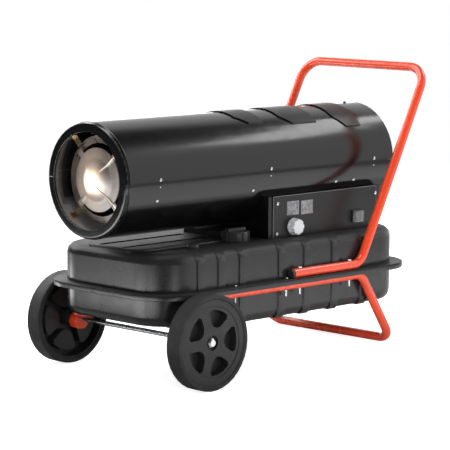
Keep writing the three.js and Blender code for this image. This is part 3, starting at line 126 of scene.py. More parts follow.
def pick(piece, kind, test):
    """Selects the faces or edges of the piece in edit mode whose middle and normal pass a test."""
    bpy.ops.mesh.select_all(action="DESELECT")
    bpy.ops.mesh.select_mode(type=kind)
    mesh = bmesh.from_edit_mesh(piece.data)
    elements = mesh.faces if kind == "FACE" else mesh.edges
    for element in elements:
        if kind == "FACE":
            element.select_set(test(element.calc_center_median(), element.normal))
        else:
            middle = (element.verts[0].co + element.verts[1].co) / 2
            along = (element.verts[1].co - element.verts[0].co).normalized()
            element.select_set(test(middle, along))
    mesh.select_flush_mode()
    bmesh.update_edit_mesh(piece.data)


def bevel_piece(piece, width, segments=2, angle=30):
    """Rounds the piece's edges and applies the modifier."""
    rounding = piece.modifiers.new("Rounded edges", "BEVEL")
    rounding.width = width * MM
    rounding.segments = segments
    rounding.limit_method = "ANGLE"
    rounding.angle_limit = math.radians(angle)
    choose(piece)
    bpy.ops.object.modifier_apply(modifier=rounding.name)


def settle(piece, place=LEVEL):
    """Puts the piece's place into its mesh and leaves its object at the origin."""
    choose(piece)
    piece.matrix_world = place @ piece.matrix_world
    bpy.ops.object.transform_apply(location=True, rotation=True, scale=True)


def copy_at(model, place, name):
    """A copy of the model with its own mesh, moved by a matrix."""
    twin = model.copy()
    twin.data = model.data.copy()
    twin.name = name
    bpy.context.collection.objects.link(twin)
    twin.data.transform(place)
    return twin


def join_pieces(pieces, name):
    """Makes one piece of several."""
    deselect()
    for piece in pieces:
        piece.select_set(True)
    bpy.context.view_layer.objects.active = pieces[0]
    bpy.ops.object.join()
    return active(name)


def shade(piece, angle=35):
    """Smooth shading, with the piece's sharp edges kept."""
    choose(piece)
    bpy.ops.object.shade_smooth_by_angle(angle=math.radians(angle))


def dress(piece, material, body):
    """Gives a finished piece its material and the body that it moves with."""
    piece.data.materials.clear()
    piece.data.materials.append(material)
    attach(piece, body)
    return piece


def facing(point, normal, turn=0.0):
    """A matrix that stands a piece made along +Z on a point, with its +Z along the normal."""
    spin = normal.to_track_quat("Z", "Y").to_matrix().to_4x4()
    return Matrix.Translation(point * MM) @ spin @ Matrix.Rotation(turn, 4, "Z")


def barrel_point(x, rise, side):
    """A point on the barrel's skin at a height over its axis, and the skin's normal there."""
    y = side * math.sqrt(BARREL_RADIUS**2 - rise**2)
    return Vector((x, y, BARREL_HEIGHT + rise)), Vector((0.0, y, rise)).normalized()


# Shader node groups that the materials share


def socket(group, name, direction, kind, default=None):
    """Adds a named socket to a node group."""
    made = group.interface.new_socket(name=name, in_out=direction, socket_type=kind)
    if default is not None:
        made.default_value = default
    return made


def node(tree, kind, **settings):
    """Adds a node with its settings."""
    made = tree.nodes.new(kind)
    for name, value in settings.items():
        setattr(made, name, value)
    return made


def math_node(tree, operation, a, b=None, clamp=False):
    """Adds a Math node fed by sockets or numbers."""
    made = node(tree, "ShaderNodeMath", operation=operation, use_clamp=clamp)
    for slot_index, value in enumerate((a, b)):
        if value is None:
            continue
        if isinstance(value, (int, float)):
            made.inputs[slot_index].default_value = value
        else:
            tree.links.new(value, made.inputs[slot_index])
    return made.outputs[0]


def product(tree, *factors):
    """Multiplies sockets or numbers, from the first to the last."""
    result = factors[0]
    for factor in factors[1:]:
        result = math_node(tree, "MULTIPLY", result, factor)
    return result


def object_place(tree):
    """Object coordinates."""
    return node(tree, "ShaderNodeTexCoord").outputs["Object"]


def components(tree, vector):
    """A vector's X, Y and Z outputs."""
    split = node(tree, "ShaderNodeSeparateXYZ")
    tree.links.new(vector, split.inputs[0])
    return split.outputs


def upwardness(tree):
    """How far the surface faces up, from -1 to 1."""
    return components(tree, node(tree, "ShaderNodeNewGeometry").outputs["Normal"])["Z"]


def noise(tree, vector, scale, detail=3.0, roughness=0.55):
    """Adds a Noise node on a vector; scale is a number or a socket."""
    made = node(tree, "ShaderNodeTexNoise")
    tree.links.new(vector, made.inputs["Vector"])
    if isinstance(scale, (int, float)):
        made.inputs["Scale"].default_value = scale
    else:
        tree.links.new(scale, made.inputs["Scale"])
    made.inputs["Detail"].default_value = detail
    made.inputs["Roughness"].default_value = roughness
    return made.outputs["Fac"]


def spread(tree, value, low, high):
    """Maps a noise value's usual range to low and high, which are numbers or sockets."""
    made = node(tree, "ShaderNodeMapRange")
    tree.links.new(value, made.inputs["Value"])
    made.inputs["From Min"].default_value = 0.35
    made.inputs["From Max"].default_value = 0.65
    for name, bound in (("To Min", low), ("To Max", high)):
        if isinstance(bound, (int, float)):
            made.inputs[name].default_value = bound
        else:
            tree.links.new(bound, made.inputs[name])
    return made.outputs["Result"]


def soft_step(tree, value, window, heights):
    """A smooth change between two heights as the value crosses the window."""
    made = node(tree, "ShaderNodeMapRange", clamp=True, interpolation_type="SMOOTHSTEP")
    tree.links.new(value, made.inputs["Value"])
    made.inputs["From Min"].default_value = window[0]
    made.inputs["From Max"].default_value = window[1]
    made.inputs["To Min"].default_value = heights[0]
    made.inputs["To Max"].default_value = heights[1]
    return made.outputs["Result"]


def blend_colors(tree, factor, first, second):
    """Mixes two colours, each a socket or a colour."""
    made = node(tree, "ShaderNodeMix", data_type="RGBA")
    tree.links.new(factor, made.inputs[0])
    for index, color in ((6, first), (7, second)):
        if hasattr(color, "is_output"):
            tree.links.new(color, made.inputs[index])
        else:
            made.inputs[index].default_value = (*color[:3], 1.0)
    return made.outputs[2]


def surface_group():
    """Uneven colour, sheen and fine grain, with a little dust on what faces up."""
    group = bpy.data.node_groups.new("Heater surface", "ShaderNodeTree")
    socket(group, "Color", "INPUT", "NodeSocketColor", (0.1, 0.1, 0.1, 1.0))
    socket(group, "Second Color", "INPUT", "NodeSocketColor", (0.2, 0.2, 0.2, 1.0))
    socket(group, "Dust Color", "INPUT", "NodeSocketColor", (0.45, 0.42, 0.38, 1.0))
    socket(group, "Patch Scale", "INPUT", "NodeSocketFloat", 12.0)
    socket(group, "Grain Scale", "INPUT", "NodeSocketFloat", 900.0)
    socket(group, "Roughness Low", "INPUT", "NodeSocketFloat", 0.3)
    socket(group, "Roughness High", "INPUT", "NodeSocketFloat", 0.4)
    socket(group, "Dust", "INPUT", "NodeSocketFloat", 0.05)
    socket(group, "Color", "OUTPUT", "NodeSocketColor")
    socket(group, "Roughness", "OUTPUT", "NodeSocketFloat")
    socket(group, "Height", "OUTPUT", "NodeSocketFloat")
    entry = node(group, "NodeGroupInput")
    result = node(group, "NodeGroupOutput")
    place = object_place(group)
    given = entry.outputs
    patches = noise(group, place, given["Patch Scale"], 4.0)
    grain = noise(group, place, given["Grain Scale"], 2.0)
    share = spread(group, patches, 0.0, 1.0)
    color = blend_colors(group, share, given["Color"], given["Second Color"])
    upward = math_node(group, "MAXIMUM", upwardness(group), 0.0)
    specks = spread(group, noise(group, place, 260.0, 5.0, 0.7), 0.2, 1.0)
    drift = product(group, upward, specks, given["Dust"])
    dusty = blend_colors(group, drift, color, given["Dust Color"])
    sheen = noise(group, place, product(group, given["Patch Scale"], 3.0), 3.0)
    rough = spread(group, sheen, given["Roughness Low"], given["Roughness High"])
    group.links.new(dusty, result.inputs["Color"])
    group.links.new(math_node(group, "ADD", rough, drift, clamp=True), result.inputs["Roughness"])
    group.links.new(grain, result.inputs["Height"])
    return group


def strokes_group():
    """Fine drawn marks along one direction, as on rolled or brushed sheet."""
    group = bpy.data.node_groups.new("Drawn marks", "ShaderNodeTree")
    socket(group, "Stretch", "INPUT", "NodeSocketVector", (30.0, 900.0, 900.0))
    socket(group, "Color", "INPUT", "NodeSocketColor", (0.6, 0.6, 0.6, 1.0))
    socket(group, "Second Color", "INPUT", "NodeSocketColor", (0.7, 0.7, 0.7, 1.0))
    socket(group, "Roughness Low", "INPUT", "NodeSocketFloat", 0.2)
    socket(group, "Roughness High", "INPUT", "NodeSocketFloat", 0.35)
    socket(group, "Color", "OUTPUT", "NodeSocketColor")
    socket(group, "Roughness", "OUTPUT", "NodeSocketFloat")
    socket(group, "Height", "OUTPUT", "NodeSocketFloat")
    entry = node(group, "NodeGroupInput")
    result = node(group, "NodeGroupOutput")
    place = object_place(group)
    stretched = node(group, "ShaderNodeVectorMath", operation="MULTIPLY")
    group.links.new(place, stretched.inputs[0])
    group.links.new(entry.outputs["Stretch"], stretched.inputs[1])
    lines = noise(group, stretched.outputs[0], 1.0, 4.0)
    clouds = noise(group, place, 25.0, 3.0)
    both = product(group, math_node(group, "ADD", lines, clouds), 0.5)
    color = blend_colors(
        group, spread(group, both, 0.0, 1.0), entry.outputs["Color"], entry.outputs["Second Color"]
    )
    rough = spread(group, both, entry.outputs["Roughness Low"], entry.outputs["Roughness High"])
    group.links.new(color, result.inputs["Color"])
    group.links.new(rough, result.inputs["Roughness"])
    group.links.new(lines, result.inputs["Height"])
    return group


def group_node(tree, group, values):
    """Places a shared node group in a material with its own values."""
    made = node(tree, "ShaderNodeGroup", node_tree=group)
    for name, value in values.items():
        made.inputs[name].default_value = value
    return made


def bump(tree, height, distance):
    """Adds a Bump node and gives its normal; distance is in millimetres."""
    made = node(tree, "ShaderNodeBump")
    made.inputs["Distance"].default_value = distance * MM
    tree.links.new(height, made.inputs["Height"])
    return made.outputs["Normal"]


def feed(tree, shader, group, relief):
    """Feeds a shared group's colour, roughness and height to the shader; relief in millimetres."""
    tree.links.new(group.outputs["Color"], shader.inputs["Base Color"])
    tree.links.new(group.outputs["Roughness"], shader.inputs["Roughness"])
    tree.links.new(bump(tree, group.outputs["Height"], relief), shader.inputs["Normal"])


def new_material(name):
    """An empty material: its tree and its Principled shader."""
    material = bpy.data.materials.new(name)
    material.use_nodes = True
    tree = material.node_tree
    return material, tree, tree.nodes["Principled BSDF"]


def coated(
    name, color, second, rough, grain, patches=12.0, dust=0.04, coat=0.0, coat_roughness=0.1
):
    """Paint, plastic or rubber: uneven colour and sheen with a fine grain.

    rough is the lowest and highest roughness; grain is its scale and its depth in millimetres.
    """
    material, tree, shader = new_material(name)
    values = {
        "Color": (*color, 1.0),
        "Second Color": (*second, 1.0),
        "Roughness Low": rough[0],
        "Roughness High": rough[1],
        "Grain Scale": grain[0],
        "Patch Scale": patches,
        "Dust": dust,
    }
    feed(tree, shader, group_node(tree, SHARED["surface"], values), grain[1])
    shader.inputs["Coat Weight"].default_value = coat
    shader.inputs["Coat Roughness"].default_value = coat_roughness
    return material


def drawn_metal(name, color, second, rough, stretch):
    """Bare or plated metal with fine marks along one direction."""
    material, tree, shader = new_material(name)
    values = {
        "Color": (*color, 1.0),
        "Second Color": (*second, 1.0),
        "Roughness Low": rough[0],
        "Roughness High": rough[1],
        "Stretch": stretch,
    }
    feed(tree, shader, group_node(tree, SHARED["strokes"], values), 0.02)
    shader.inputs["Metallic"].default_value = 1.0
    return material


def baffle_metal():
    """Heated stainless sheet: straw tint, drawn marks, a painted glow at the dome and painted highlights along its
    creases.
    """
    material, tree, shader = new_material("Heated stainless")
    radius, _ = barrel_radius(tree)
    values = {
        "Color": (0.16, 0.15, 0.145, 1.0),
        "Second Color": (0.24, 0.228, 0.222, 1.0),
        "Roughness Low": 0.36,
        "Roughness High": 0.48,
        "Stretch": (60.0, 60.0, 60.0),
    }
    marks = group_node(tree, SHARED["strokes"], values)
    feed(tree, shader, marks, 0.1)
    heat = soft_step(tree, radius, (0.014, 0.05), (1.0, 0.0))
    tinted = blend_colors(tree, heat, marks.outputs["Color"], (0.62, 0.53, 0.45))
    tree.links.new(tinted, shader.inputs["Base Color"])
    offset = node(tree, "ShaderNodeVectorMath", operation="SUBTRACT")
    tree.links.new(object_place(tree), offset.inputs[0])
    offset.inputs[1].default_value = LEVEL @ (Vector(PAINTED_GLOW_CENTRE) * MM)
    # Painted glow at the dome, emission standing in for light: a bright core, taller than wide, and a halo
    shape = node(tree, "ShaderNodeVectorMath", operation="MULTIPLY")
    tree.links.new(offset.outputs[0], shape.inputs[0])
    shape.inputs[1].default_value = (0.5, 1.0, 0.55)
    gap = node(tree, "ShaderNodeVectorMath", operation="LENGTH")
    tree.links.new(shape.outputs[0], gap.inputs[0])
    core = soft_step(tree, gap.outputs["Value"], (0.002, 0.021), (1.0, 0.0))
    halo = soft_step(tree, gap.outputs["Value"], (0.012, 0.07), (0.2, 0.025))
    # Painted highlight along each diagonal crease on the panel's side
    parts = components(tree, offset.outputs[0])
    up = math_node(tree, "ADD", parts["Z"], -4.0 * MM)
    across = math_node(tree, "ADD", parts["Y"], 20.0 * MM)
    turn = math_node(tree, "ARCTAN2", up, across)
    diagonal = math_node(tree, "ABSOLUTE", math_node(tree, "COSINE", product(tree, turn, 2.0)))
    line = soft_step(tree, diagonal, (0.02, 0.06), (1.0, 0.0))
    outside = soft_step(tree, radius, (0.03, 0.036), (0.0, 1.0))
    near = soft_step(tree, parts["Y"], (-0.03, -0.022), (0.6, 0.0))
    glint = product(tree, line, outside, near)
    light = math_node(tree, "ADD", math_node(tree, "ADD", core, halo), glint, clamp=True)
    # Emission colour of the painted glow and painted highlights; the baffle is no lamp
    glow = blend_colors(tree, light, (0.0, 0.0, 0.0), (1.0, 0.76, 0.58))
    tree.links.new(glow, shader.inputs["Emission Color"])
    shader.inputs["Emission Strength"].default_value = 1.5
    shader.inputs["Metallic"].default_value = 0.85
    return material


def tank_material(color):
    """Blow-moulded plastic, duller where it faces up."""
    lighter = [c * 1.25 for c in color]
    material = coated(
        "Moulded tank plastic",
        color,
        lighter,
        (0.22, 0.28),
        (1800.0, 0.02),
        patches=7.0,
        dust=0.006,
    )
    tree = material.node_tree
    shader = tree.nodes["Principled BSDF"]
    upward = soft_step(tree, upwardness(tree), (0.3, 0.9), (0.0, 0.34))
    sheen = shader.inputs["Roughness"].links[0].from_socket
    tree.links.new(math_node(tree, "ADD", sheen, upward, clamp=True), shader.inputs["Roughness"])
    return material


def barrel_paint(color):
    """Satin black, duller on the panel and its housing, with bare grey sheet in the mouth that darkens deeper in
    as painted shade and is lit on its lower wall by a painted glow.
    """
    lighter = [c * 1.3 for c in color]
    material = coated(
        "Satin black paint", color, lighter, (0.15, 0.2), (1400.0, 0.006), dust=0.003
    )
    tree = material.node_tree
    shader = tree.nodes["Principled BSDF"]
    radius, along = barrel_radius(tree)
    inside = math_node(tree, "LESS_THAN", radius, (BARREL_RADIUS - 0.9) * MM)
    behind = math_node(tree, "GREATER_THAN", along, 6.0 * MM)
    # The bare grey sheet fades to the paint's colour close behind the mouth, as painted shade deeper in; on the
    # lower wall, where it faces up, the grey reaches further back as painted light
    bare_sheet_and_painted_light = product(tree, inside, behind, soft_step(tree, along, (0.012, 0.05), (1.0, 0.04)))
    upward = soft_step(tree, upwardness(tree), (0.3, 0.7), (0.0, 1.0))
    lower_wall_painted_glow = product(tree, inside, upward, soft_step(tree, along, (0.13, 0.22), (1.0, 0.0)))
    bare_sheet_and_painted_light = math_node(tree, "MAXIMUM", bare_sheet_and_painted_light, product(tree, lower_wall_painted_glow, behind))
    # Painted glow on the lower wall, which no lamp reaches: emission standing in for light
    shader.inputs["Emission Color"].default_value = (1.0, 0.95, 0.9, 1.0)
    tree.links.new(product(tree, lower_wall_painted_glow, 0.028), shader.inputs["Emission Strength"])
    painted = shader.inputs["Base Color"].links[0].from_socket
    # Bare grey where the sheet is bare, darkened deeper in as painted shade and lightened on the lower wall as
    # painted light
    color_in = blend_colors(tree, bare_sheet_and_painted_light, painted, (0.11, 0.11, 0.115))
    tree.links.new(color_in, shader.inputs["Base Color"])
    sheen = shader.inputs["Roughness"].links[0].from_socket
    dulled = math_node(tree, "ADD", sheen, product(tree, bare_sheet_and_painted_light, 0.2), clamp=True)
    folded = math_node(tree, "GREATER_THAN", radius, (BARREL_RADIUS + 2.5) * MM)
    rough = math_node(tree, "ADD", dulled, product(tree, folded, 0.2))
    tree.links.new(rough, shader.inputs["Roughness"])
    return material


def plate_material():
    """Blank plates: mid grey with a fine woven grain."""
    material, tree, shader = new_material("Blank plate")
    place = object_place(tree)
    parts = components(tree, place)
    waves = [math_node(tree, "SINE", product(tree, parts[axis], 1500.0)) for axis in ("X", "Z")]
    weave = product(tree, *waves, 0.25)
    mottle = math_node(tree, "ADD", weave, noise(tree, place, 160.0, 4.0))
    share = spread(tree, mottle, 0.0, 1.0)
    color = blend_colors(tree, share, (0.08, 0.08, 0.085), (0.34, 0.34, 0.35))
    tree.links.new(color, shader.inputs["Base Color"])
    tree.links.new(spread(tree, mottle, 0.5, 0.38), shader.inputs["Roughness"])
    tree.links.new(bump(tree, mottle, 0.05), shader.inputs["Normal"])
    return material


def barrel_radius(tree):
    """Distance from the barrel's axis and distance behind its mouth, in metres."""
    mapping = node(tree, "ShaderNodeMapping", vector_type="TEXTURE")
    mouth = Vector((BARREL_MOUTH, 0.0, BARREL_HEIGHT)) * MM
    mapping.inputs["Location"].default_value = LEVEL @ mouth
    mapping.inputs["Rotation"].default_value = (0.0, LEAN, 0.0)
    tree.links.new(object_place(tree), mapping.inputs["Vector"])
    parts = components(tree, mapping.outputs["Vector"])
    squares = [product(tree, parts[axis], parts[axis]) for axis in ("Y", "Z")]
    return math_node(tree, "SQRT", math_node(tree, "ADD", *squares)), parts["X"]


def clear_plastic():
    """The switch's splash cover, meant to be clear; the render shows it as a mottled grey."""
    material, tree, shader = new_material("Clear cover")
    values = {
        "Color": (0.9, 0.92, 0.93, 1.0),
        "Second Color": (0.95, 0.96, 0.97, 1.0),
        "Roughness Low": 0.05,
        "Roughness High": 0.12,
        "Dust": 0.02,
    }
    surface = group_node(tree, SHARED["surface"], values)
    tree.links.new(surface.outputs["Color"], shader.inputs["Base Color"])
    tree.links.new(surface.outputs["Roughness"], shader.inputs["Roughness"])
    shader.inputs["Transmission Weight"].default_value = 0.9
    shader.inputs["IOR"].default_value = 1.45
    return material


SHARED = {}
FINISH = {}


def make_finishes(settings):
    """Builds every material once, under the name of its record slot or use."""
    SHARED["surface"] = surface_group()
    SHARED["strokes"] = strokes_group()
    black = tuple(settings.barrel_color)
    tank = tuple(settings.tank_color)
    red = tuple(settings.tube_color)
    FINISH.update(
        black_paint=barrel_paint(black),
        tank_plastic=tank_material(tank),
        # Bright metal for thin strips that stand in for edge highlights: a painted highlight
        raw_edge=drawn_metal(
            "Painted edge highlight", (0.3, 0.3, 0.31), (0.4, 0.4, 0.41), (0.4, 0.5), (300.0, 300.0, 300.0)
        ),
        red_paint=coated(
            "Red powder coat",
            red,
            [c * 0.88 for c in red],
            (0.2, 0.3),
            (1100.0, 0.04),
            coat=0.5,
            coat_roughness=0.08,
            dust=0.02,
        ),
        zinc=drawn_metal(
            "Bright zinc", (0.62, 0.64, 0.66), (0.78, 0.79, 0.8), (0.18, 0.32), (500.0, 60.0, 500.0)
        ),
        tyre_rubber=coated(
            "Tyre rubber",
            (0.017, 0.017, 0.0172),
            (0.024, 0.024, 0.024),
            (0.6, 0.75),
            (1500.0, 0.12),
            dust=0.02,
        ),
        hub_plastic=coated(
            "Hub plastic",
            (0.012, 0.012, 0.0125),
            (0.017, 0.017, 0.0175),
            (0.42, 0.52),
            (1800.0, 0.04),
            dust=0.01,
        ),
        stainless=drawn_metal(
            "Stainless sheet",
            (0.34, 0.29, 0.25),
            (0.48, 0.42, 0.38),
            (0.24, 0.42),
            (40.0, 300.0, 300.0),
        ),
        gold_zinc=drawn_metal(
            "Yellow passivated steel",
            (0.62, 0.47, 0.3),
            (0.74, 0.64, 0.46),
            (0.25, 0.4),
            (200.0, 200.0, 200.0),
        ),
        grey_plastic=coated(
            "Pale grey plastic",
            (0.6, 0.61, 0.62),
            (0.66, 0.67, 0.68),
            (0.35, 0.45),
            (1600.0, 0.03),
            dust=0.03,
        ),
        dark_plastic=coated(
            "Dark plastic",
            (0.018, 0.018, 0.02),
            (0.026, 0.026, 0.028),
            (0.35, 0.45),
            (1600.0, 0.04),
        ),
        circuit_board=coated(
            "Circuit board", (0.01, 0.09, 0.035), (0.015, 0.13, 0.05), (0.3, 0.45), (900.0, 0.05)
        ),
        cast_metal=drawn_metal(
            "Cast aluminium",
            (0.4, 0.41, 0.42),
            (0.52, 0.53, 0.54),
            (0.38, 0.55),
            (300.0, 300.0, 300.0),
        ),
        ceramic=coated(
            "Ceramic", (0.75, 0.72, 0.64), (0.8, 0.77, 0.7), (0.12, 0.2), (600.0, 0.02), coat=0.4
        ),
        copper=drawn_metal(
            "Copper tube", (0.6, 0.3, 0.16), (0.75, 0.42, 0.25), (0.22, 0.36), (300.0, 300.0, 60.0)
        ),
        seal_rubber=coated(
            "Seal rubber", (0.015, 0.015, 0.015), (0.022, 0.022, 0.022), (0.6, 0.7), (1200.0, 0.05)
        ),
        plate=plate_material(),
        baffle=baffle_metal(),
        clear_plastic=clear_plastic(),
    )


# The steepest turn, in degrees, that still shades smoothly
SMOOTH_ANGLES = {"red_paint": 50, "tank_plastic": 50, "tyre_rubber": 32, "hub_plastic": 32}


def finish_cad_node(name, cad, slot):
    """Shades a CAD node smoothly across its round faces and gives it its slot's material."""
    cad.data.polygons.foreach_set("use_smooth", [True] * len(cad.data.polygons))
    weld = cad.modifiers.new("Weld", "WELD")
    weld.merge_threshold = 0.00001
    flats = cad.modifiers.new("Whole flats", "DECIMATE")
    flats.decimate_type = "DISSOLVE"
    flats.angle_limit = math.radians(0.4)
    split = cad.modifiers.new("Crisp edges", "EDGE_SPLIT")
    split.split_angle = math.radians(SMOOTH_ANGLES.get(slot, 32))
    even = cad.modifiers.new("Even shading", "WEIGHTED_NORMAL")
    even.keep_sharp = True
    even.weight = 90
    material = FINISH["baffle"] if name == "flame_baffle" else FINISH[slot]
    cad.data.materials.clear()
    cad.data.materials.append(material)


# Pieces


def thicken(piece, width):
    """Gives an open sheet its thickness, in millimetres."""
    sheet = piece.modifiers.new("Sheet", "SOLIDIFY")
    sheet.thickness = width * MM
    choose(piece)
    bpy.ops.object.modifier_apply(modifier=sheet.name)


def drawn_line(name, points):
    """A chain of edges through points in millimetres, left in edit mode and selected."""
    deselect()
    bpy.ops.mesh.primitive_plane_add(size=MM, location=(0, 0, 0))
    line = active(name)
    bpy.ops.object.mode_set(mode="EDIT")
    bpy.ops.mesh.select_mode(type="VERT")
    bpy.ops.mesh.select_all(action="SELECT")
    bpy.ops.mesh.merge(type="CENTER")
    bpy.ops.transform.translate(value=Vector(points[0]) * MM)
    for here, there in zip(points, points[1:]):
        step = (Vector(there) - Vector(here)) * MM
        bpy.ops.mesh.extrude_region_move(TRANSFORM_OT_translate={"value": step})
    return line


def lathe(name, points, centre, axis, steps):
    """Turns a profile once round an axis; the piece is left in edit mode."""
    turned = drawn_line(name, points)
    bpy.ops.mesh.select_all(action="SELECT")
    bpy.ops.mesh.spin(steps=steps, angle=2 * math.pi, center=Vector(centre) * MM, axis=axis)
    bpy.ops.mesh.select_all(action="SELECT")
    bpy.ops.mesh.remove_doubles(threshold=0.00002)
    bpy.ops.mesh.normals_make_consistent(inside=False)
    return turned


def bent_tube(name, corners, bends, radius, sides=28, steps=10):
    """A tube swept round its bends, closed at both ends."""
    points = [Vector(corner) * MM for corner in corners]
    heading = (points[1] - points[0]).normalized()
    deselect()
    bpy.ops.mesh.primitive_circle_add(
        vertices=sides,
        radius=radius * MM,
        location=points[0],
        rotation=heading.to_track_quat("Z", "Y").to_euler(),
    )
    tube = active(name)
    bpy.ops.object.transform_apply(location=True, rotation=True, scale=True)
    bpy.ops.object.mode_set(mode="EDIT")
    bpy.ops.mesh.select_mode(type="VERT")
    bpy.ops.mesh.select_all(action="SELECT")
    at = points[0]
    for here, there, bend in zip(points[1:], points[2:], bends):
        leaving = (there - here).normalized()
        turn = heading.angle(leaving)
        start = here - heading * bend * MM * math.tan(turn / 2)
        pivot = heading.cross(leaving).normalized()
        centre = start + pivot.cross(heading).normalized() * bend * MM
        bpy.ops.mesh.extrude_region_move(TRANSFORM_OT_translate={"value": start - at})
        bpy.ops.mesh.spin(steps=steps, angle=-turn, center=centre, axis=pivot)
        at = here + leaving * bend * MM * math.tan(turn / 2)
        heading = leaving
    bpy.ops.mesh.extrude_region_move(TRANSFORM_OT_translate={"value": points[-1] - at})
    bpy.ops.mesh.select_all(action="SELECT")
    bpy.ops.mesh.remove_doubles(threshold=0.00002)
    bpy.ops.mesh.fill_holes(sides=0)
    bpy.ops.mesh.select_all(action="SELECT")
    bpy.ops.mesh.normals_make_consistent(inside=False)
    bpy.ops.object.mode_set(mode="OBJECT")
    return tube


def screw_model(radius, height):
    """A domed screw head on a washer, with a round recess, standing on the origin along +Z."""
    deselect()
    bpy.ops.mesh.primitive_cylinder_add(
        vertices=20, radius=radius * MM, depth=height * MM, location=(0, 0, height / 2 * MM)
    )
    head = active("screw_head")
    bpy.ops.object.mode_set(mode="EDIT")
    pick(head, "FACE", lambda middle, normal: normal.z > 0.9)
    bpy.ops.mesh.inset(thickness=radius * 0.22 * MM)
    bpy.ops.transform.translate(value=(0, 0, height * 0.25 * MM))
    bpy.ops.mesh.inset(thickness=radius * 0.3 * MM)
    bpy.ops.transform.translate(value=(0, 0, height * 0.08 * MM))
    bpy.ops.mesh.inset(thickness=radius * 0.22 * MM)
    bpy.ops.mesh.extrude_region_move(TRANSFORM_OT_translate={"value": (0, 0, -height * 0.5 * MM)})
    bpy.ops.object.mode_set(mode="OBJECT")
    deselect()
    bpy.ops.mesh.primitive_cylinder_add(
        vertices=24, radius=radius * 1.35 * MM, depth=0.8 * MM, location=(0, 0, 0.2 * MM)
    )
    washer = active("screw_washer")
    bevel_piece(washer, 0.25, 2)
    return join_pieces([head, washer], "screw_model")


def place_screws(model, places, name):
    """Copies the screw to each place and makes one piece of them."""
    copies = []
    for index, (point, normal) in enumerate(places):
        place = LEVEL @ facing(point, normal, 0.7 * index)
        copies.append(copy_at(model, place, f"{name}_{index}"))
    return join_pieces(copies, name)


def rounded_plate(name, centre, width, height, depth, corner, segments=4):
    """A thin plate with rounded corners that stands on the panel's face."""
    deselect()
    bpy.ops.mesh.primitive_cube_add(size=1.0, location=centre * MM)
    plate = active(name)
    plate.scale = (width * MM, depth * MM, height * MM)
    bpy.ops.object.transform_apply(location=True, rotation=True, scale=True)
    bpy.ops.object.mode_set(mode="EDIT")
    pick(plate, "EDGE", lambda middle, along: abs(along.y) > 0.9)
    bpy.ops.mesh.bevel(offset=corner * MM, segments=segments, affect="EDGES")
    bpy.ops.object.mode_set(mode="OBJECT")
    return plate


class HeaterSizes(bpy.types.PropertyGroup):
    """Sizes of the small fittings."""

    seam_screw_radius: FloatProperty(
        name="Seam screw radius",
        description="Radius of the barrel's screw heads",
        default=4.2, unit="NONE",
    )
    panel_screw_radius: FloatProperty(
        name="Panel screw radius",
        description="Radius of the panel's screw heads",
        default=4.4, unit="NONE",
    )
    plate_depth: FloatProperty(
        name="Plate depth",
        description="How far the blank plates stand off the panel",
        default=0.8, unit="NONE",
    )
    floor_size: FloatProperty(
        name="Floor size",
        description="Width of the floor",
        default=5.6, unit="LENGTH",
    )


class HeaterColors(bpy.types.PropertyGroup):
    """Colours of the main finishes."""

    barrel_color: FloatVectorProperty(
        name="Barrel",
        description="Paint on the barrel and panel",
        subtype="COLOR", size=3, default=(0.0022, 0.0022, 0.0025),
    )
    tank_color: FloatVectorProperty(
        name="Tank",
        description="Moulded plastic of the tank",
        subtype="COLOR", size=3, default=(0.012, 0.012, 0.0125),
    )
    tube_color: FloatVectorProperty(
        name="Tubes",
        description="Powder coat on the cart and handle",
        subtype="COLOR", size=3, default=(0.86, 0.07, 0.02),
    )
    floor_color: FloatVectorProperty(
        name="Floor",
        description="Floor and background",
        subtype="COLOR", size=3, default=(0.86, 0.86, 0.86),
    )


class HEATER_OT_finishes(bpy.types.Operator):
    """Gives every solid piece its finish and smooth shading"""

    bl_idname = "heater.finishes"
    bl_label = "Finishes"

    def execute(self, context):
        make_finishes(context.scene.heater_colors)
        slots = {part["node"]: part["material_slot"] for part in frame["record"]["subparts"]}
        for name, cad in frame["nodes"].items():
            finish_cad_node(name, cad, slots[name])
        return {"FINISHED"}


# Places along the barrel, and heights over its axis, of its screws and rivets
SEAM_PLACES = (-48.0, 326.0, 706.5)
LOWER_PLACES = (-52.6, 270.0, 570.6, 636.0)
SEAM_RISE = 5.0
RIVET_RISE = -11.8
LOWER_RISE = -46.0
TOP_SCREW_PLACE = 745.0


class HEATER_OT_barrel_screws(bpy.types.Operator):
    """Adds the barrel's screws, and a rivet under each seam screw"""

    bl_idname = "heater.barrel_screws"
    bl_label = "Barrel screws"

    def execute(self, context):
        model = screw_model(context.scene.heater_sizes.seam_screw_radius, 2.6)
        places = []
        for side in (-1, 1):
            places += [barrel_point(x, SEAM_RISE, side) for x in SEAM_PLACES]
            places += [barrel_point(x, LOWER_RISE, side) for x in LOWER_PLACES]
        top = Vector((TOP_SCREW_PLACE, 0.0, BARREL_HEIGHT + BARREL_RADIUS))
        places.append((top, Vector((0, 0, 1))))
        rivet = screw_model(1.5, 0.9)
        dots = [barrel_point(x, RIVET_RISE, side) for side in (-1, 1) for x in SEAM_PLACES]
        screws = place_screws(model, places, "barrel_screws")
        rivets = place_screws(rivet, dots, "seam_rivets")
        screws = join_pieces([screws, rivets], "barrel_screws")
        bpy.data.objects.remove(model)
        bpy.data.objects.remove(rivet)
        shade(screws)
        dress(screws, FINISH["zinc"], "chassis")
        return {"FINISHED"}


# The panel's fittings, by their x and z; a strip's last two numbers are its width and height
PANEL_SCREWS = ((342.0, 289.0), (340.0, 213.0), (704.5, 288.0), (704.5, 214.0))
PANEL_STRIPS = (
    (517.0, 308.0, 382.0, 0.9),
    (326.3, 256.8, 0.9, 103.0),
    (707.6, 256.8, 0.7, 103.0),
)
COVER_FACE = -158.2
COVER_STRIPS = (
    (617.9, 235.3, 1.0, 27.0),
    (648.1, 235.3, 1.0, 27.0),
    (633.0, 248.8, 30.0, 1.0),
    (633.0, 221.8, 30.0, 1.0),
)
BLANK_PLATES = ((397.0, 275.5), (447.3, 274.0))
BLANK_PLATE_SIZE = (43.0, 34.5)


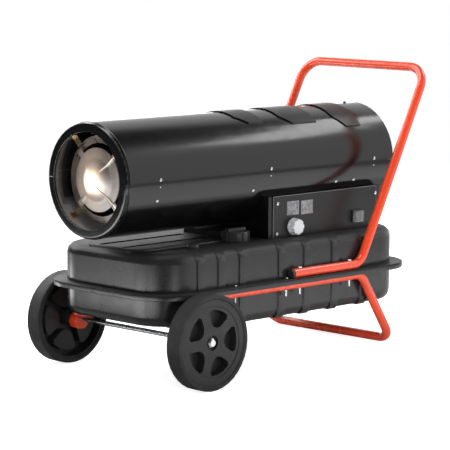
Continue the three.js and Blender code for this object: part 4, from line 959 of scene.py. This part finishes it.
class HEATER_OT_panel_trim(bpy.types.Operator):
    """Adds the panel's screws, its blank plates, and bright strips along the edges of panel and cover as painted
    highlights
    """

    bl_idname = "heater.panel_trim"
    bl_label = "Panel trim"

    def execute(self, context):
        sizes = context.scene.heater_sizes
        model = screw_model(sizes.panel_screw_radius, 2.4)
        places = [(Vector((x, PANEL_FACE, z)), Vector((0, -1, 0))) for x, z in PANEL_SCREWS]
        screws = place_screws(model, places, "panel_screws")
        bpy.data.objects.remove(model)
        shade(screws)
        dress(screws, FINISH["zinc"], "chassis")
        # Bright strips on the panel's and the cover's edges: painted highlights
        edges = []
        for x, z, width, height in PANEL_STRIPS:
            centre = Vector((x, PANEL_FACE - 0.1, z))
            edges.append(rounded_plate("panel_edge", centre, width, height, 0.7, 0.2, 2))
        for x, z, width, height in COVER_STRIPS:
            centre = Vector((x, COVER_FACE, z))
            edges.append(rounded_plate("cover_edge", centre, width, height, 0.8, 0.3, 2))
        edge = join_pieces(edges, "panel_edge")
        settle(edge)
        shade(edge)
        dress(edge, FINISH["raw_edge"], "chassis")
        for index, (x, z) in enumerate(BLANK_PLATES):
            centre = Vector((x, PANEL_FACE - sizes.plate_depth / 2, z))
            name = f"blank_plate_{index + 1}"
            plate = rounded_plate(name, centre, *BLANK_PLATE_SIZE, sizes.plate_depth, 1.2)
            bevel_piece(plate, 0.25, 2)
            settle(plate)
            shade(plate)
            dress(plate, FINISH["plate"], "chassis")
        return {"FINISHED"}


# Each softbox: its name, place, aim, power, width, height and whether reflections show it
LAMPS = (
    ("left_panel", (-2.07, 0.45, 0.004), (-2.07, 0.45, 1.0), 42.0, 2.0, 1.1, True),
    ("left_wide_panel", (-1.6, 1.45, 0.004), (-1.6, 1.45, 1.0), 6.0, 1.3, 0.8, True),
    ("rib_panel", (-1.95, -0.5, 0.004), (-1.95, -0.5, 1.0), 20.0, 1.6, 0.7, True),
    ("far_panel", (-0.75, 1.7, 0.004), (-0.75, 1.7, 1.0), 12.0, 0.4, 1.3, True),
    ("near_panel", (-0.78, -1.32, 0.004), (-0.78, -1.32, 1.0), 3.4, 0.28, 1.2, True),
    ("right_panel", (0.75, -1.1, 0.004), (0.75, -1.1, 1.0), 5.2, 1.7, 1.3, True),
    ("deck_panel", (1.05, 1.35, 0.55), (-0.4, -0.1, 0.35), 6.0, 1.6, 0.5, True),
    ("far_softbox", (-0.3, 1.65, 1.45), (-0.4, 0.0, 0.3), 26.0, 1.6, 1.0, True),
    ("rib_strip", (-0.6, -1.75, 0.004), (-0.6, -1.75, 1.0), 5.0, 0.5, 0.9, True),
    ("side_softbox", (1.25, -1.75, 1.2), (0.2, 0.0, 0.35), 2.0, 2.0, 2.0, True),
    ("upper_softbox", (1.75, -0.5, 1.85), (0.3, 0.0, 0.5), 6.5, 1.1, 0.38, True),
    ("top_light", (-0.5, 0.6, 3.0), (0.0, 0.0, 0.3), 55.0, 2.0, 2.0, True),
    ("front_fill", (-2.6, -2.8, 2.3), (0.0, 0.0, 0.35), 50.0, 1.6, 1.6, False),
    ("low_fill", (-1.2, -3.4, 0.3), (0.25, 0.0, 0.12), 42.0, 1.6, 0.4, False),
)


def floor_material(color):
    """White seamless paper: glowing to the camera, and darker at the front in reflections."""
    material, tree, shader = new_material("Pale floor")
    values = {
        "Color": (*color, 1.0),
        "Second Color": (*[c * 0.98 for c in color], 1.0),
        "Roughness Low": 0.7,
        "Roughness High": 0.8,
        "Dust": 0.0,
    }
    surface = group_node(tree, SHARED["surface"], values)
    tree.links.new(surface.outputs["Color"], shader.inputs["Base Color"])
    tree.links.new(surface.outputs["Roughness"], shader.inputs["Roughness"])
    shader.inputs["Specular IOR Level"].default_value = 0.1
    glow = node(tree, "ShaderNodeEmission")
    glow.inputs["Strength"].default_value = 0.82
    dim = tree.nodes.new("ShaderNodeBsdfDiffuse")
    along = components(tree, object_place(tree))["X"]
    full = soft_step(tree, along, (-0.75, -0.2), (0.0, 1.0))
    shade_color = blend_colors(tree, full, (0.12, 0.12, 0.12), surface.outputs["Color"])
    tree.links.new(shade_color, dim.inputs["Color"])
    seen = node(tree, "ShaderNodeLightPath").outputs["Is Camera Ray"]
    half = node(tree, "ShaderNodeAddShader")
    tree.links.new(shader.outputs[0], half.inputs[0])
    tree.links.new(glow.outputs[0], half.inputs[1])
    choice = node(tree, "ShaderNodeMixShader")
    tree.links.new(seen, choice.inputs[0])
    tree.links.new(dim.outputs[0], choice.inputs[1])
    tree.links.new(half.outputs[0], choice.inputs[2])
    tree.links.new(choice.outputs[0], tree.nodes["Material Output"].inputs["Surface"])
    return material


def studio_world(scene):
    """White to the camera; reflections see it lit low down behind the heater, and dim elsewhere."""
    world = scene.world or bpy.data.worlds.new("Studio")
    scene.world = world
    world.use_nodes = True
    tree = world.node_tree
    background = tree.nodes["Background"]
    background.inputs["Color"].default_value = (1.0, 1.0, 1.0, 1.0)
    toward = components(tree, node(tree, "ShaderNodeTexCoord").outputs["Generated"])
    low = soft_step(tree, toward["Z"], (0.72, 0.58), (0.0, 1.0))
    behind = soft_step(tree, toward["X"], (0.0, 0.5), (0.0, 1.0))
    lit = product(tree, low, behind, 0.85)
    seen = node(tree, "ShaderNodeLightPath").outputs["Is Camera Ray"]
    glow = math_node(tree, "MAXIMUM", math_node(tree, "ADD", lit, 0.05), seen)
    tree.links.new(glow, background.inputs["Strength"])


def cradle(name, side):
    """The plate on the foot of a front leg that holds the axle, rounded at its edges."""
    deselect()
    centre = Vector((8.0, side * TUBE_SIDE, -6.0))
    bpy.ops.mesh.primitive_cube_add(size=MM, location=centre * MM)
    plate = active(name)
    plate.scale = (54.0, 22.6, 40.0)
    bpy.ops.object.transform_apply(location=True, rotation=True, scale=True)
    bpy.ops.object.mode_set(mode="EDIT")
    pick(plate, "EDGE", lambda middle, along: abs(along.y) > 0.9 and middle.x < 0)
    bpy.ops.mesh.bevel(offset=17.0 * MM, segments=2, affect="EDGES")
    pick(
        plate,
        "EDGE",
        lambda middle, along: abs(along.y) > 0.9 and middle.x > 0.03 and middle.z < 0,
    )
    bpy.ops.mesh.bevel(offset=20.0 * MM, segments=1, affect="EDGES")
    bpy.ops.object.mode_set(mode="OBJECT")
    bevel_piece(plate, 1.2, 2)
    return plate


class HEATER_OT_tubes(bpy.types.Operator):
    """Sweeps the cart's and the handle's tubes smoothly round their bends"""

    bl_idname = "heater.tubes"
    bl_label = "Tubes"

    def execute(self, context):
        handle = bent_tube("handle_tube", HANDLE_ROUTE, HANDLE_BENDS, TUBE_RADIUS)
        rails = bent_tube("cart_tube", CART_ROUTE, CART_BENDS, TUBE_RADIUS)
        feet = [cradle("cradle_left", 1), cradle("cradle_right", -1)]
        cart = join_pieces([rails, *feet], "cart_tube")
        for piece, replaced in ((handle, "handle_frame"), (cart, "cart_frame")):
            settle(piece)
            shade(piece, 40)
            dress(piece, FINISH["red_paint"], "chassis")
            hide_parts(replaced)
        return {"FINISHED"}


# The baffle's disc, as radius and height over the sheet's rim, and the sheet itself
BAFFLE_PROFILE = (
    (0.0, 18.0),
    (12.0, 17.6),
    (22.0, 16.4),
    (31.0, 14.2),
    (39.0, 11.0),
    (46.0, 7.4),
    (51.0, 4.6),
    (54.0, 3.6),
    (60.0, 3.0),
    (66.0, 2.2),
    (72.0, 1.2),
    (76.0, 0.6),
    (77.2, -0.8),
    (76.8, -2.4),
)
BAFFLE_RIM = -122.0
BAFFLE_SHEET = 0.9
CREASE_DEPTH = 2.2
CREASE_REACH = (24.0, 77.0)
# A tab's bent strip, from the disc out to the chamber, as place along the barrel and radius
TAB_BENDS = (
    (BAFFLE_RIM + 0.6, 70.0),
    (BAFFLE_RIM + 0.2, 90.0),
    (BAFFLE_RIM + 1.6, 94.0),
    (-113.2, 95.0),
    (-112.0, 92.0),
)
TAB_WIDTH = 16.0


class HEATER_OT_baffle(bpy.types.Operator):
    """Draws the flame baffle with its dome, its pressed creases and its four tabs"""

    bl_idname = "heater.baffle"
    bl_label = "Flame baffle"

    def execute(self, context):
        rim = BAFFLE_RIM
        profile = [(rim - height, 0.0, BARREL_HEIGHT + radius) for radius, height in BAFFLE_PROFILE]
        disc = lathe("baffle_disc", profile, (rim, 0.0, BARREL_HEIGHT), (1, 0, 0), 96)

        def crease(middle, along):
            across, up = middle.y / MM, middle.z / MM - BARREL_HEIGHT
            turn = math.degrees(math.atan2(up, across)) % 90
            near, far = CREASE_REACH
            return near < math.hypot(across, up) < far and abs(turn - 45) < 1

        pick(disc, "EDGE", crease)
        bpy.ops.transform.translate(value=(-CREASE_DEPTH * MM, 0, 0))
        bpy.ops.object.mode_set(mode="OBJECT")
        thicken(disc, BAFFLE_SHEET)
        tabs = [disc]
        for turn in range(45, 360, 90):
            bends = [(x, 0.0, radius) for x, radius in TAB_BENDS]
            strap = drawn_line(f"baffle_tab_{turn}", bends)
            bpy.ops.mesh.select_all(action="SELECT")
            across = {"value": (0, TAB_WIDTH * MM, 0)}
            bpy.ops.mesh.extrude_region_move(TRANSFORM_OT_translate=across)
            bpy.ops.object.mode_set(mode="OBJECT")
            strap.data.transform(Matrix.Translation((0, -TAB_WIDTH / 2 * MM, 0)))
            thicken(strap, BAFFLE_SHEET)
            lift = Matrix.Translation((0, 0, BARREL_HEIGHT * MM))
            strap.data.transform(lift @ Matrix.Rotation(math.radians(turn), 4, "X"))
            tabs.append(strap)
        baffle = join_pieces(tabs, "baffle_disc")
        settle(baffle)
        shade(baffle, 28)
        dress(baffle, FINISH["baffle"], "chassis")
        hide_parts("flame_baffle")
        return {"FINISHED"}


class HEATER_OT_mouth_trim(bpy.types.Operator):
    """Adds bright strips as painted highlights on the inner edge of the barrel's mouth and at its far seam"""

    bl_idname = "heater.mouth_trim"
    bl_label = "Mouth trim"

    def execute(self, context):
        # A thin bright ring and a small strip: painted highlights at the mouth's inner edge and at the seam's lap
        deselect()
        bpy.ops.mesh.primitive_torus_add(
            major_segments=96,
            minor_segments=8,
            major_radius=117.2 * MM,
            minor_radius=0.55 * MM,
            location=Vector((BARREL_MOUTH + 0.6, 0.0, BARREL_HEIGHT)) * MM,
            rotation=(0, math.pi / 2, 0),
        )
        edge = active("mouth_edge")
        centre = Vector((BARREL_MOUTH + 0.2, 127.0, BARREL_HEIGHT + 1.2))
        lap = rounded_plate("lap_edge", centre, 1.4, 1.7, 19.0, 0.3)
        trim = join_pieces([edge, lap], "mouth_edge")
        settle(trim)
        shade(trim)
        dress(trim, FINISH["raw_edge"], "chassis")
        return {"FINISHED"}


class HEATER_OT_stage(bpy.types.Operator):
    """Adds the floor, the lights and the camera"""

    bl_idname = "heater.stage"
    bl_label = "Stage"

    def execute(self, context):
        scene = context.scene
        size = scene.heater_sizes.floor_size
        deselect()
        bpy.ops.mesh.primitive_plane_add(size=size, location=(0, 0, 0))
        floor = active("floor")
        floor.data.materials.append(floor_material(tuple(scene.heater_colors.floor_color)))
        studio_world(scene)
        for name, place, aim, energy, width, height, mirrored in LAMPS:
            deselect()
            bpy.ops.object.light_add(type="AREA", location=place)
            lamp = bpy.context.object
            lamp.name = name
            lamp.data.shape = "RECTANGLE"
            lamp.data.energy = energy
            lamp.data.size = width
            lamp.data.size_y = height
            lamp.visible_camera = False
            lamp.visible_glossy = mirrored
            ahead = Vector(aim) - Vector(place)
            lamp.rotation_euler = ahead.to_track_quat("-Z", "Y").to_euler()
        deselect()
        glow_place = LEVEL @ (Vector((BARREL_MOUTH + 4.0, 0.0, BARREL_HEIGHT)) * MM)
        bpy.ops.object.light_add(type="POINT", location=glow_place, radius=0.02)
        glow = bpy.context.object
        glow.name = "flame_glow"
        glow.data.energy = 0.5
        glow.data.color = (1.0, 0.8, 0.6)
        glow.visible_camera = False
        glow.visible_glossy = False
        deselect()
        bpy.ops.object.camera_add(location=CAMERA_PLACE)
        camera = bpy.context.object
        camera.name = "photo_camera"
        camera.rotation_euler = [math.radians(angle) for angle in CAMERA_TURN]
        camera.data.lens = CAMERA_LENS
        camera.data.sensor_width = CAMERA_SENSOR
        camera.data.clip_end = 100.0
        scene.camera = camera
        scene.view_settings.view_transform = "Standard"
        return {"FINISHED"}


class HEATER_PT_panel(bpy.types.Panel):
    """Lists the heater's sizes, colours and steps"""

    bl_idname = "HEATER_PT_panel"
    bl_label = "Oil-fired heater"
    bl_space_type = "VIEW_3D"
    bl_region_type = "UI"
    bl_category = "Heater"

    def draw(self, context):
        layout = self.layout
        for group in (context.scene.heater_sizes, context.scene.heater_colors):
            for name in group.__annotations__:
                layout.prop(group, name)
        for step in STEPS:
            layout.operator(step.bl_idname)


STEPS = (
    HEATER_OT_finishes,
    HEATER_OT_tubes,
    HEATER_OT_baffle,
    HEATER_OT_mouth_trim,
    HEATER_OT_barrel_screws,
    HEATER_OT_panel_trim,
    HEATER_OT_stage,
)
CLASSES = (HeaterSizes, HeaterColors, *STEPS, HEATER_PT_panel)


def register():
    for cls in CLASSES:
        bpy.utils.register_class(cls)
    bpy.types.Scene.heater_sizes = PointerProperty(type=HeaterSizes)
    bpy.types.Scene.heater_colors = PointerProperty(type=HeaterColors)


def unregister():
    del bpy.types.Scene.heater_colors
    del bpy.types.Scene.heater_sizes
    for cls in reversed(CLASSES):
        bpy.utils.unregister_class(cls)


def main():
    register()
    bpy.ops.heater.finishes()
    bpy.ops.heater.tubes()
    bpy.ops.heater.baffle()
    bpy.ops.heater.mouth_trim()
    bpy.ops.heater.barrel_screws()
    bpy.ops.heater.panel_trim()
    bpy.ops.heater.stage()


if __name__ == "__main__":
    main()
